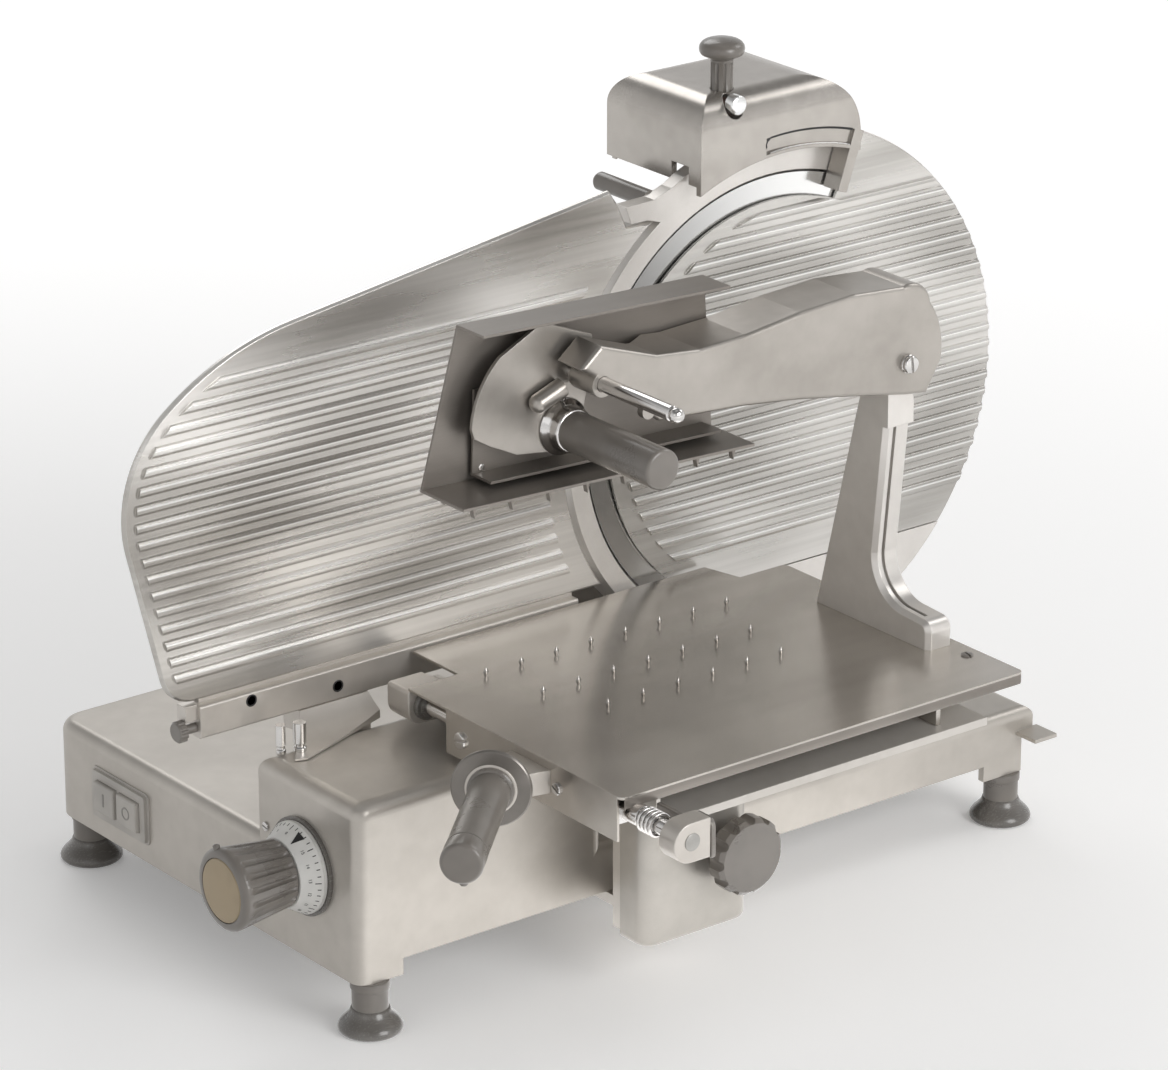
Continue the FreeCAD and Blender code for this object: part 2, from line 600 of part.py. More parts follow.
def round_sail(piece, outline, inset):
    """Round the three free corners of the gauge plate's outline."""
    for corner, radius in ((outline[0], S.gauge_low_round), (outline[-2], S.gauge_shoulder_round),
                           (outline[-1], S.gauge_side_round)):
        piece.round(radius - inset, on_planes(x=corner[0], along="Y"))


def ribs(name, face, left, right, low, count):
    """A comb of horizontal ribs on a thin web, from left to right and from low upwards."""
    comb = Piece(name, keep=False)
    half, crest, proud = S.rib_width / 2, S.rib_width / 6, S.rib_proud
    comb.pad("XZ", face, face + 1, rectangle(
        left, low - S.rib_width, right, low + S.rib_pitch * (count - 1) + S.rib_width))
    rib = comb.pad("YZ", left, right, [
        (face - proud, low - crest), (face - proud * 0.6, low - half * 0.75), (face + 0.5, low - half),
        (face + 0.5, low + half), (face - proud * 0.6, low + half * 0.75), (face - proud, low + crest)])
    comb.repeat_along(rib, "Z", S.rib_pitch * (count - 1), count)
    return comb.body


def gauge_plate():
    """The ribbed plate that the food slides along."""
    plate = Piece("gauge_plate_blank")
    y, none = S.gauge_y, as_size(0)
    outer = gauge_outline(none, none)
    plate.pad("XZ", y, y + S.gauge_thick, outer)
    round_sail(plate, outer, none)
    plate.bevel(S.gauge_edge_round, on_planes(y=y))
    zone = Piece("gauge_rib_zone", keep=False)
    inner = gauge_outline(S.rib_margin, S.rib_arc_margin)
    zone.pad("XZ", y - S.rib_proud - 1, y + 1, inner)
    round_sail(zone, inner, S.rib_margin)
    comb = ribs("gauge_rib_comb", y, -S.gauge_reach - 10, S.gauge_end_x, S.rib_low, S.rib_count)
    trimmed = combine("Common", "gauge_ribs", comb, zone.body)
    return combine("Fuse", "gauge_plate", plate.body, trimmed)


def gauge_carrier():
    """The bar under the gauge plate, its end screw, the foot below it and the slide it rides on."""
    front = S.gauge_y - S.bar_proud
    back = front + S.bar_depth
    rail = Piece("gauge_bar")
    rail.pad("XZ", front, back, rectangle(S.bar_left, S.bar_bottom, S.bar_right, S.bar_top))
    rail.pad("XZ", front + S.bar_slot_depth, back, rectangle(
        S.bar_left + 4, S.bar_top, S.bar_right, S.gauge_bottom))
    rail.pad("XZ", front + 4, back, rectangle(
        S.bar_left - S.lug_length, S.bar_top - 11, S.bar_left, S.bar_top + 1))
    rail.round(1.5, on_planes(y=front, z=S.bar_bottom), on_planes(y=front, z=S.bar_top))
    screw = Piece("gauge_end_screw", x=S.bar_left, y=front + 7, z=S.bar_bottom + 7,
                  turn=ALONG_MINUS_X)
    head, neck = S.lug_screw_radius, S.lug_screw_radius / 2
    shank = S.lug_length + 0.5
    screw.lathe([(0, 0), (neck - 0.4, 0), (neck - 0.4, shank), (head, shank), (head, shank + 5),
                 (head - 1.5, shank + 6.5), (0, shank + 6.5)])
    notch = screw.pocket("XY", shank, shank + 7, circle(head + 0.6, 0, 1.5))
    screw.repeat_round(notch, 12)
    column = Piece("gauge_column")
    foot = S.block_top + S.column_clear
    column_wide = S.column_right - S.column_left
    column.pad("XY", foot, S.bar_bottom, [
        (S.column_left, S.column_front + column_wide * 0.03),
        (S.column_left + column_wide * 0.1, S.column_front),
        (S.column_right, S.column_front + column_wide * 0.32), (S.column_right, back),
        (S.column_left + column_wide * 0.32, back), (S.column_left + column_wide * 0.36, front)])
    toe = foot + S.column_toe
    column.pocket("YZ", S.column_left - 1, S.column_right + 1, [
        (S.column_front - 1, toe), (S.column_front + S.column_wall, toe, S.column_sweep, "left"),
        (front - 0.5, S.bar_bottom), (S.column_front - 1, S.bar_bottom)])
    column.pad("XY", S.follower_high, foot, rectangle(
        slide_left, slide_front, slide_right, slide_front + S.column_wall))
    block = Piece("gauge_slide")
    low = S.leg_bottom + S.guide_rise
    block.pad("XY", low, S.follower_low, rectangle(
        slide_left, slide_front, slide_right, slide_front + S.slide_depth))
    block.pad("XY", S.follower_low, S.follower_high, [
        (S.casting_wall + 8, S.dial_y + S.cam_small + S.cam_gap),
        (S.casting_wall + 8 + S.cam_length, S.dial_y + S.cam_small + S.cam_gap),
        (S.casting_wall + 8 + S.cam_length, slide_front), (slide_right, slide_front),
        (slide_right, slide_front + S.column_wall), (S.casting_wall + 8, slide_front + S.column_wall)])
    guides = (slide_left + S.guide_inset, slide_right - S.guide_inset)
    block.pocket("XZ", slide_front, slide_front + S.slide_depth, *[
        circle(x, low + S.guide_rise, S.guide_radius + S.rod_clearance) for x in guides])
    start = slide_front - S.holder_gap - S.holder_thick
    stop = slide_front + S.slide_depth + S.gauge_travel + S.holder_gap + S.holder_thick
    rods = Piece("gauge_guide_rods")
    rods.pad("XZ", start, stop, *[circle(x, low + S.guide_rise, S.guide_radius) for x in guides])
    holders = Piece("gauge_guide_holders")
    holders.pad("XZ", start, start + S.holder_thick, rectangle(
        slide_left, low, slide_right, deck_inside + 14))
    holders.pad("XZ", stop - S.holder_thick, stop, rectangle(slide_left, low, slide_right, deck_inside))
    holders.pocket("XZ", start, stop, *[
        circle(x, low + S.guide_rise, S.guide_radius) for x in guides])


# ---------------------------------------------------------------- blade and guard

def blade():
    """The round blade, dished so that its cover lies flush, and its hub bolts."""
    piece = Piece("blade", x=S.blade_x, y=S.blade_y, z=S.blade_z, turn=ALONG_Y)
    edge, inner, dish, thick = S.blade_radius, S.blade_radius - S.bevel_width, S.blade_dish, S.blade_thick
    bore = S.spigot_radius
    piece.lathe([(bore, dish), (inner - 5, dish), (inner, 0), (edge, 0), (edge, 0.4),
                 (inner + 3, thick), (inner - 4, dish + thick), (bore, dish + thick)])


def guard():
    """The cast guard that stands on the deck, rings the blade and closes its back.

    Its ring is round the blade, and the wide rim of its right side has its own middle.
    """
    piece = Piece("blade_guard")
    x, z, big, ring = S.blade_x, S.blade_z, S.guard_radius, S.ring_outer
    front, back = S.guard_front, S.guard_front + S.guard_depth
    feet = [(S.guard_foot_left, S.deck_top), (S.guard_foot_right, S.deck_top)]
    piece.pad("XZ", front, back, [
        *feet, (*around(RIM, big, -57), big, "left"), (*around(RIM, big, 70), big, "left"),
        around(RIM, big, 105), (*around(BLADE, ring, 105), ring, "left"),
        (x - ring, z, ring, "left"), around(BLADE, ring, 230)])
    piece.pad("XZ", front, front + S.flange_depth, [
        around(BLADE, ring, 124), (x - big * 0.563, z + big * 0.767), (x - big * 0.634, z + big * 0.767),
        (x - big * 0.658, z + big * 0.831), (x - big * 0.535, z + big * 0.835),
        (x - big * 0.457, z + big * 0.862), (*around(RIM, big, 115), big, "right"),
        around(RIM, big, 104), (*around(BLADE, ring, 104), ring, "left")])
    band_top = S.cover_bottom - S.strip_gap
    piece.pad("XZ", S.strip_front, front, [
        *feet, (*around(RIM, big, -57), big, "left"),
        (rim_x + leg(big, rim_z - band_top), band_top), (S.guard_foot_left, band_top)])
    blade_front = S.blade_y - 1
    piece.pocket("XZ", blade_front - 0.2, front + S.recess_depth, circle(x, z, S.ring_inner))
    piece.pad("XZ", back, back + S.bearing_reach, circle(x, z, S.bearing_boss))
    piece.pocket("XZ", front, back + S.bearing_reach, circle(x, z, S.shaft_radius + S.shaft_gap))


def cover_outline():
    """The blade cover's outline: small round the cutting side, large on the safe side."""
    x, z, low = S.blade_x, S.blade_z, S.cover_bottom
    big, small = S.guard_radius - S.cover_edge_gap, S.cover_radius
    return [
        (x - leg(small, z - low), low), (rim_x + leg(big, rim_z - low), low, big, "left"),
        (rim_x + big, rim_z, big, "left"), around(RIM, big, 69),
        (*around(BLADE, small, 69), small, "left"), (*around(BLADE, small, 150), small, "left")]


def blade_cover():
    """The ribbed cover plate in front of the blade."""
    face = S.cover_y
    plate = Piece("blade_cover_blank")
    plate.pad("XZ", face, face + S.cover_thick, cover_outline())
    zone = Piece("cover_rib_zone", keep=False)
    low, high = S.cover_rib_low - S.rib_width, S.blade_z + S.blade_radius * 0.83
    edge, near = S.guard_radius - 2, S.blade_radius * 0.82
    zone.pad("XZ", face - S.rib_proud - 1, face + 1, [
        (S.blade_x - leg(near, S.blade_z - low), low), (rim_x + leg(edge, rim_z - low), low, edge, "left"),
        (rim_x + edge, rim_z, edge, "left"), (rim_x + leg(edge, high - rim_z), high),
        (S.blade_x + leg(S.cover_radius, high - S.blade_z), high, S.cover_radius, "left"),
        (S.blade_x - near, S.blade_z, near, "left")])
    comb = ribs("cover_rib_comb", face, S.blade_x - S.guard_radius, rim_x + S.guard_radius,
                S.cover_rib_low, S.rib_count + 3)
    trimmed = combine("Common", "cover_ribs", comb, zone.body)
    return combine("Fuse", "blade_cover", plate.body, trimmed)


def slice_deflector():
    """The curved sheet behind the blade that drops the slices on the deck."""
    back = S.guard_front + S.guard_depth
    sheet = Piece("slice_deflector")
    thick, reach, lap = S.deflector_thick, S.deflector_reach, S.deflector_lap
    bend = S.guard_foot_left - lap * 1.8
    sheet.pad("XY", S.deck_top + S.column_clear, S.blade_z, [
        (S.guard_foot_left + lap, back), (S.guard_foot_left + lap, back + thick), (bend, back + thick),
        (S.guard_foot_left - reach, back + reach * 0.56), (S.guard_foot_left - reach - thick * 0.75,
                                                            back + reach * 0.56 - thick * 0.75),
        (bend - thick * 0.5, back)])


# ---------------------------------------------------------------- drive

def drive():
    """The blade shaft, the motor, their pulleys and belt, and the housing over them."""
    x, z, low = S.blade_x, S.blade_z, S.blade_z - S.motor_drop
    back = S.guard_front + S.guard_depth
    shaft = Piece("blade_shaft", x=x, y=0, z=z, turn=ALONG_Y)
    seat = S.blade_y + S.blade_dish + S.blade_thick
    start, end = S.pulley_front, S.pulley_front + S.pulley_length
    thin = S.spigot_radius - 0.1
    shaft.lathe([(0, seat - 4), (thin, seat - 4), (thin, seat), (S.shaft_radius, seat),
                 (S.shaft_radius, start), (S.pulley_radius, start), (S.pulley_radius, end),
                 (S.shaft_radius, end), (0, end)])
    wheel = Piece("motor_pulley", x=x, y=0, z=low, turn=ALONG_Y)
    face = S.motor_front + S.motor_length
    wheel.lathe([(0, face + 0.3), (7, face + 0.3), (7, start), (S.motor_pulley_radius, start),
                 (S.motor_pulley_radius, end), (0, end)])
    motor = Piece("motor")
    motor.pad("XZ", S.motor_front, face, circle(x, low, S.motor_radius))
    motor.pad("XZ", S.motor_front + 8, face - 8, rectangle(
        x - S.motor_radius * 0.6, S.deck_top, x + S.motor_radius * 0.6, low - S.motor_radius * 0.5))
    belt = Piece("drive_belt")
    width = (start + 2, end - 2)
    for grow, make in ((S.belt_thick, belt.pad), (as_size(0), belt.pocket)):
        top, bottom = S.pulley_radius + S.belt_gap + grow, S.motor_pulley_radius + S.belt_gap + grow
        lean = (top - bottom) / S.motor_drop
        across = root(1 - lean * lean)
        make("XZ", *width, [
            (x + bottom * across, low - bottom * lean), (x + top * across, z - top * lean, top, "left"),
            (x, z + top, top, "left"), (x - top * across, z - top * lean),
            (x - bottom * across, low - bottom * lean, bottom, "left"),
            (x, low - bottom, bottom, "left")])
    left, right, deck = S.housing_left, S.housing_right, S.deck_top
    shoulder = z - S.housing_drop
    shell = Piece("drive_housing")
    for inset, make in ((as_size(0), shell.pad), (S.housing_wall, shell.pocket)):
        half = (right - left) / 2 - inset
        make("XZ", back, back + S.housing_depth - inset, [
            (left + inset, deck), (right - inset, deck), (right - inset, shoulder, half, "left"),
            ((left + right) / 2, shoulder + half, half, "left"), (left + inset, shoulder)])
        if make == shell.pad:
            shell.round(S.housing_round, lambda edge: abs(edge.BoundBox.YMin - (
                back + S.housing_depth).value) < NEAR and edge.BoundBox.ZMax > deck.value + 1)


# ---------------------------------------------------------------- sharpener

def sharpener():
    """The sharpener cap over the top of the guard, with its knob, button, stone and pin."""
    x, z, reach = S.blade_x, S.blade_z, S.sharpener_reach
    left, right = x - S.sharpener_left_reach, x + S.sharpener_right_reach
    guard_back, crown = S.guard_front + S.guard_depth, rim_z + S.guard_radius
    front, back = S.guard_front - S.sharpener_nose, guard_back + S.sharpener_tail
    top, wall, bend = crown + S.sharpener_rise, S.sharpener_wall, S.sharpener_round
    left_bend, right_bend = S.sharpener_left_round, S.sharpener_right_round
    knob_x, knob_y = x - S.top_knob_reach, front + S.top_knob_inset
    button_x, button_z = x - S.push_button_reach, top - S.push_button_drop
    body = Piece("sharpener_housing")
    body.pad("XZ", front, back, [
        (left, z + leg(reach, x - left)), (left, top - left_bend, left_bend, "right"),
        (left + left_bend, top), (right - right_bend, top, right_bend, "right"),
        (right, top - right_bend), (right, z + leg(reach, right - x), reach, "left")])
    body.pocket("YZ", left - 1, right + 1, [
        (front - 1, top - bend), (front, top - bend, bend, "right"), (front + bend, top),
        (front + bend, top + 1), (front - 1, top + 1)])
    body.pocket("YZ", left - 1, right + 1, [
        (back - bend, top, bend, "right"), (back, top - bend), (back + 1, top - bend),
        (back + 1, top + 1), (back - bend, top + 1)])
    deep = reach - wall - 1
    a, b, ceiling = left + wall, right - wall, top - right_bend
    body.pocket("XZ", front + wall, back - wall, [
        (a, z + leg(deep, x - a)), (a, top - bend), (right - right_bend, top - bend), (b, ceiling),
        (b, z + leg(deep, b - x), deep, "left")])
    body.pocket("XZ", front + bend - wall, back - bend, rectangle(
        left + left_bend, top - bend - 1, right - right_bend, top - wall))
    body.pocket("YZ", left - 1, a, rectangle(front + wall, z, back + 1, crown - S.side_wall_rise))
    gap = S.saddle_gap
    body.pocket("YZ", left - 1, a, rectangle(
        S.guard_front - gap, z, S.guard_front + S.flange_depth + gap, crown - S.notch_rise))
    body.pocket("YZ", b - wall, right + 1, rectangle(S.guard_front - gap, z, guard_back + gap, crown - gap))
    body.pad("XZ", S.guard_front, guard_back, [
        (x - S.saddle_left, rim_z + leg(S.guard_radius, rim_x - x + S.saddle_left), S.guard_radius,
         "right"),
        (x - S.saddle_right, rim_z + leg(S.guard_radius, rim_x - x + S.saddle_right)),
        (x - S.saddle_right, top - wall + 1), (x - S.saddle_left, top - wall + 1)])
    near, far, low, high = S.window_left_reach, S.window_right_reach, S.window_low, S.window_high
    body.pocket("XZ", front, front + S.window_depth, [
        (x - near, z + leg(low, near)), (x - near, z + leg(high, near), high, "right"),
        (x + far, z + leg(high, far)), (x + far, z + leg(low, far), low, "left")])
    body.pad("XZ", front, S.guard_front - S.stay_gap, [
        around(BLADE, high, 70.5), around(BLADE, high, 73), around(BLADE, S.stay_low, 73.5),
        around(BLADE, S.stay_low, 70.5)])
    body.pocket("XZ", front - 1, front + wall + 14, circle(
        button_x, button_z, S.push_button_radius + 0.5))
    body.pocket("XY", top - 12, top + 1, circle(knob_x, knob_y, S.top_knob_stem + 0.3))
    seat = top - S.top_knob_seat
    knob = Piece("sharpener_knob", knob_x, knob_y, seat)
    wide, stem, rise = S.top_knob_radius, S.top_knob_stem, S.top_knob_rise
    knob.lathe([(0, 0), (stem, 0), (stem, rise - 9), (wide - 2, rise - 7), (wide, rise - 3),
                (wide - 5, rise + 4), (0, rise + 5)])
    button = Piece("sharpener_button", button_x, front - S.push_button_proud, button_z, ALONG_Y)
    press = S.push_button_radius
    button.lathe([(0, 0), (press - 1, 0), (press, 1), (press, S.push_button_length),
                  (0, S.push_button_length)])
    base = crown + 2
    stone = Piece("grinding_stone", knob_x, knob_y, base)
    thin = S.spindle_radius
    stone.lathe([(0, 0), (S.stone_radius, 0), (S.stone_radius, S.stone_length),
                 (thin, S.stone_length), (thin, seat - base), (0, seat - base)])
    pin = Piece("sharpener_pin", x - S.rest_pin_reach, S.guard_front + S.flange_depth,
                crown - S.rest_pin_drop, ALONG_Y)
    thick, long = S.rest_pin_radius, S.rest_pin_length
    pin.lathe([(0, 0), (thick, 0), (thick, long - 3), (thick - 2, long), (0, long)])


# ---------------------------------------------------------------- carriage

def carriage():
    """The carriage: the pod, the arm that reaches the rail, the bed, the rod and its blocks."""
    rail = Piece("carriage_rail")
    rail.pad("YZ", S.casting_wall, base_right - S.casting_wall, circle(S.rail_y, S.rail_z, S.rail_radius))
    pod = Piece("carriage_pod")
    pod.pad("XY", S.pod_bottom, S.bed_bottom, rectangle(S.pod_left, S.pod_front, S.pod_right, S.pod_back))
    pod.round(S.pod_round, on_planes(x=S.pod_left, y=S.pod_front), on_planes(x=S.pod_right, y=S.pod_front))
    pod.round(5, lambda edge: abs(edge.BoundBox.ZMax - S.pod_bottom.value) < NEAR)
    arm = Piece("carriage_arm")
    half, mid = S.bearing_block / 2, (S.pod_left + S.pod_right) / 2
    top = S.leg_bottom + S.skirt_rise - S.arm_clear
    arm.pad("XY", top - S.arm_thick, S.bed_bottom, rectangle(
        S.pod_left + S.neck_inset, S.pod_back, S.pod_right - S.neck_inset, S.pod_back + S.neck_depth))
    arm.pad("XY", top - S.arm_thick, top, rectangle(
        mid - S.arm_half, S.pod_back + S.neck_depth, mid + S.arm_half, S.rail_y + half))
    arm.pad("YZ", mid - S.bearing_length / 2, mid + S.bearing_length / 2, rectangle(
        S.rail_y - half, S.rail_z - half, S.rail_y + half, S.rail_z + half))
    arm.pocket("YZ", mid - S.bearing_length, mid + S.bearing_length, circle(
        S.rail_y, S.rail_z, S.rail_radius + S.shaft_gap))
    bed = Piece("carriage_bed")
    inner = S.side_plate_x + S.side_plate_thick
    bed.pad("XY", S.bed_bottom, S.bed_bottom + S.bed_thick, rectangle(
        S.side_plate_x, S.bed_front, S.bed_right, S.bed_back))
    bed.pad("YZ", S.side_plate_x, inner, rectangle(
        S.bed_front, S.bed_bottom, S.bed_back, S.side_plate_top))
    rod_front, rod_back = S.front_block_y - S.front_block_depth, S.rear_block_y + S.rear_block_depth
    rod = Piece("table_rod")
    rod.pad("XZ", rod_front + 3, rod_back - 3, circle(S.rod_x, S.rod_z, S.rod_radius))
    half = S.block_width / 2
    front = Piece("rod_block_front")
    front.pad("XZ", rod_front, S.front_block_y, rectangle(
        S.rod_x - half, S.end_block_bottom, S.rod_x + half, S.end_block_top))
    front.pocket("XZ", rod_front + 3, S.front_block_y, circle(S.rod_x, S.rod_z, S.rod_radius))
    rear = Piece("rod_block_rear")
    rear.pad("XZ", S.rear_block_y, rod_back, rectangle(
        S.rod_x - half, S.end_block_bottom, S.rod_x + half, S.end_block_top))
    rear.pad("XZ", S.rear_block_y + 2, rod_back - 6, rectangle(
        S.rod_x + half, S.end_block_bottom + 3, S.side_plate_x, S.side_plate_top))
    rear.pad("XZ", S.rear_block_y - S.washer_thick, S.rear_block_y, circle(
        S.rod_x, S.rod_z, S.washer_radius))
    rear.pocket("XZ", S.rear_block_y - S.washer_thick, rod_back - 3, circle(
        S.rod_x, S.rod_z, S.rod_radius))
    for block, y in ((front, rod_front), (rear, rod_back)):
        block.round(2, on_planes(z=S.end_block_top, y=y), on_planes(x=S.rod_x - half, y=y),
                    on_planes(x=S.rod_x + half, y=y, z=None, along="Z"), on_planes(
                    z=S.end_block_top, x=S.rod_x - half))
    knob = Piece("lobed_knob", S.lobe_x, S.lobe_face, S.lobe_z, ALONG_Y)
    wide = S.lobe_radius
    knob.lathe([(0, 0), (wide - 3, 0), (wide, 3), (wide, S.lobe_thick - 2), (wide - 2, S.lobe_thick),
                (8, S.lobe_thick), (8, S.pod_front - S.lobe_face), (0, S.pod_front - S.lobe_face)])
    bite = knob.pocket("XY", -1, S.lobe_thick + 1, circle(wide + 1, 0, S.lobe_bite))
    knob.repeat_round(bite, S.lobe_count)


def coil(label, radius, wire, length, turns, x, y, z):
    """A wire wound along +Y, as a helix swept in one go with a six-sided section."""
    rise = (length - 2 * wire) / turns
    corners = [V((radius + wire * cosine(60 * side)).value, 0, (wire * sine(60 * side)).value)
               for side in range(7)]
    path = Part.Wire(Part.makeHelix(rise.value, (length - 2 * wire).value, radius.value))
    spring = doc.addObject("Part::Feature", label)
    spring.Label = label
    spring.Shape = path.makePipeShell([Part.makePolygon(corners)], True, True)
    place(spring, x, y, z, ALONG_Y)
    subparts.append(spring)
    return spring


# ---------------------------------------------------------------- meat table and its handle

def table():
    """The folded sheet table, its runner, its sleeve on the rod and its rows of spikes."""
    top, sheet = S.table_top, S.table_sheet
    under = top - sheet
    left, right, front, back = S.table_left, S.table_right, S.table_front, S.table_back
    piece = Piece("meat_table")
    piece.pad("XY", under, top, [
        (left, front), (right, front), (right, S.table_step_y), (S.table_step_x, S.table_step_y),
        (S.table_step_x - 8, back), (S.notch_right, back), (S.notch_right, S.notch_front),
        (left, S.notch_front)])
    piece.round(S.table_round, on_planes(x=left, y=front), on_planes(x=right, y=front),
                on_planes(x=right, y=S.table_step_y))
    bend = S.table_round
    piece.pad("XZ", front, front + sheet, rectangle(left + bend, under - S.lip_drop, right - bend, under))
    piece.pad("YZ", left, left + sheet, rectangle(front + bend, S.skirt_bottom, S.skirt_back, under))
    piece.pad("YZ", right - sheet, right, rectangle(
        front + bend, under - S.side_lip, S.table_step_y - bend, under))
    runner = S.bed_right - S.runner_inset
    piece.pad("YZ", runner, runner + 4, rectangle(
        S.bed_front + 10, S.bed_bottom + S.bed_thick + 0.3, S.bed_back - 40, under))
    piece.pocket("XY", under, top, circle(S.drain_x, S.drain_y, S.drain_radius))
    spikes = Piece("table_spikes")
    tall, wide, thick = S.spike_height, S.spike_width / 2, S.spike_thick / 2
    rows = ((S.spike_row_back, 8, S.spike_first_back), (S.spike_row_mid, 7, S.spike_first_mid),
            (S.spike_row_front, 6, S.spike_first_front))
    for y, count, first in rows:
        spike = spikes.pad("XZ", y - thick, y + thick, [
            (first - wide * 0.5, top), (first + wide * 0.5, top), (first + wide, top + tall * 0.45),
            (first, top + tall), (first - wide, top + tall * 0.45)])
        spikes.repeat_along(spike, "X", S.spike_pitch * (count - 1), count)
    sleeve = Piece("table_sleeve")
    start, end = S.coil_start + S.coil_length, S.rear_block_y - S.washer_thick - 4
    sleeve.pad("XZ", start, end, circle(S.rod_x, S.rod_z, S.rod_radius + S.sleeve_wall))
    half = S.bush_width / 2
    for low in (front + 8, end - S.bush_length - 8):
        sleeve.pad("XZ", low, low + S.bush_length, rectangle(
            S.rod_x - half, under - S.bush_height, S.rod_x + half, under))
    sleeve.pocket("XZ", start, end, circle(S.rod_x, S.rod_z, S.rod_radius + S.shaft_gap))
    coil("rod_spring", S.coil_radius - S.coil_wire, S.coil_wire, S.coil_length, S.coil_turns,
         S.rod_x, S.coil_start + S.coil_wire, S.rod_z)


def handle():
    """The carriage handle on the table's left skirt: bracket, round guard disc and grip."""
    lean = FreeCAD.Vector(-0.72, -0.694, 0)
    turn = turn_z_to(tuple(lean))
    x, y, z = S.handle_x, S.handle_y, S.handle_z
    half = S.bracket_height / 2
    bracket = Piece("handle_bracket")
    seat = S.bracket_seat
    slope = lean.x / lean.y
    bracket.pad("XY", z - half, z + half, [
        (S.table_left, y + seat * 2.5), (x - seat, y + seat * slope), (x + seat, y - seat * slope),
        (S.table_left, y - seat * 1.6)])
    disc = Piece("handle_disc", x, y, z, turn)
    disc.lathe([(0, 0), (S.disc_radius - 1, 0), (S.disc_radius, 1), (S.disc_radius, S.disc_thick - 1),
                (S.disc_radius - 1, S.disc_thick), (0, S.disc_thick)])
    grip = Piece("handle_grip", x, y, z, turn)
    end = S.disc_thick + S.grip_length
    wide = S.grip_radius
    grip.lathe([(0, S.disc_thick), (wide, S.disc_thick), (wide, end - 3), (wide - 3, end), (0, end)])
    grip.pocket("XZ", -wide, -wide + 3, circle(0, end - 14, S.set_screw_radius))


# ---------------------------------------------------------------- press

def scaled(base, length, points):
    """Points given as shares of a length from a base point; a third share is an arc's radius."""
    outline = []
    for u, v, *arc in points:
        bend = [length * arc[0], arc[1]] if arc else []
        outline.append((base[0] + length * u, base[1] + length * v, *bend))
    return outline


def press_post():
    """The grooved post at the table's right edge and the pin that the arm turns on."""
    x, z, foot = S.pivot_x, S.pivot_z, S.table_top
    left, right = S.post_left, S.post_left + S.post_thick
    front, back = S.press_arm_front, S.press_arm_back
    tall, groove = z - foot, S.post_groove
    corner = (0, foot)
    post = Piece("press_post")
    post.pad("YZ", left, right, scaled(corner, tall, [
        (0.14, 0), (-0.072, 0.836), (-0.222, 0.85), (-0.164, 0.275, 0.164, "right"),
        (-0.328, 0.111), (-0.415, 0.106, 0.043, "left"), (-0.458, 0.063), (-0.458, 0)]))
    bends = scaled(corner, tall, [(-0.164, 0.275), (-0.328, 0.111)])
    post.bevel(S.post_round, lambda edge: edge.BoundBox.XLength < NEAR
               and edge.BoundBox.YMax < bends[0][0].value + NEAR
               and edge.BoundBox.ZMax > bends[1][1].value - NEAR
               and edge.BoundBox.ZMin > foot.value + NEAR)
    inner, low = bends[0][0] + groove, bends[1][1] - groove
    post.pocket("YZ", left + S.post_groove_left, left + S.post_groove_left + groove, [
        (inner - tall * 0.058, z - tall * 0.16), (inner, bends[0][1], tall * 0.164 + groove, "right"),
        (bends[1][0], low), (-tall * 0.4, low), (-tall * 0.4, z), (inner - tall * 0.058, z)])
    clear, ear = S.press_arm_wall + S.fork_gap, S.post_ear_radius
    post.pad("XZ", front + clear, back - clear, [
        (left, z - ear * 5), (right, z - ear * 5), (right, z - ear * 3.4), (x + ear, z - ear * 0.6),
        (x + ear, z, ear, "left"), (x, z + ear, ear, "left"), (x - ear, z)])
    post.pocket("XZ", front, back, circle(x, z, S.pivot_radius))
    pin = Piece("press_pivot_pin", x, 0, z, ALONG_Y)
    thin, head = S.pivot_radius, S.pin_head_radius
    pin.lathe([(0, front - 3.5), (head - 1, front - 3.5), (head, front - 2.5), (head, front - 0.2),
               (thin, front - 0.2), (thin, back + 0.2), (head, back + 0.2), (head, back + 3),
               (0, back + 3)])


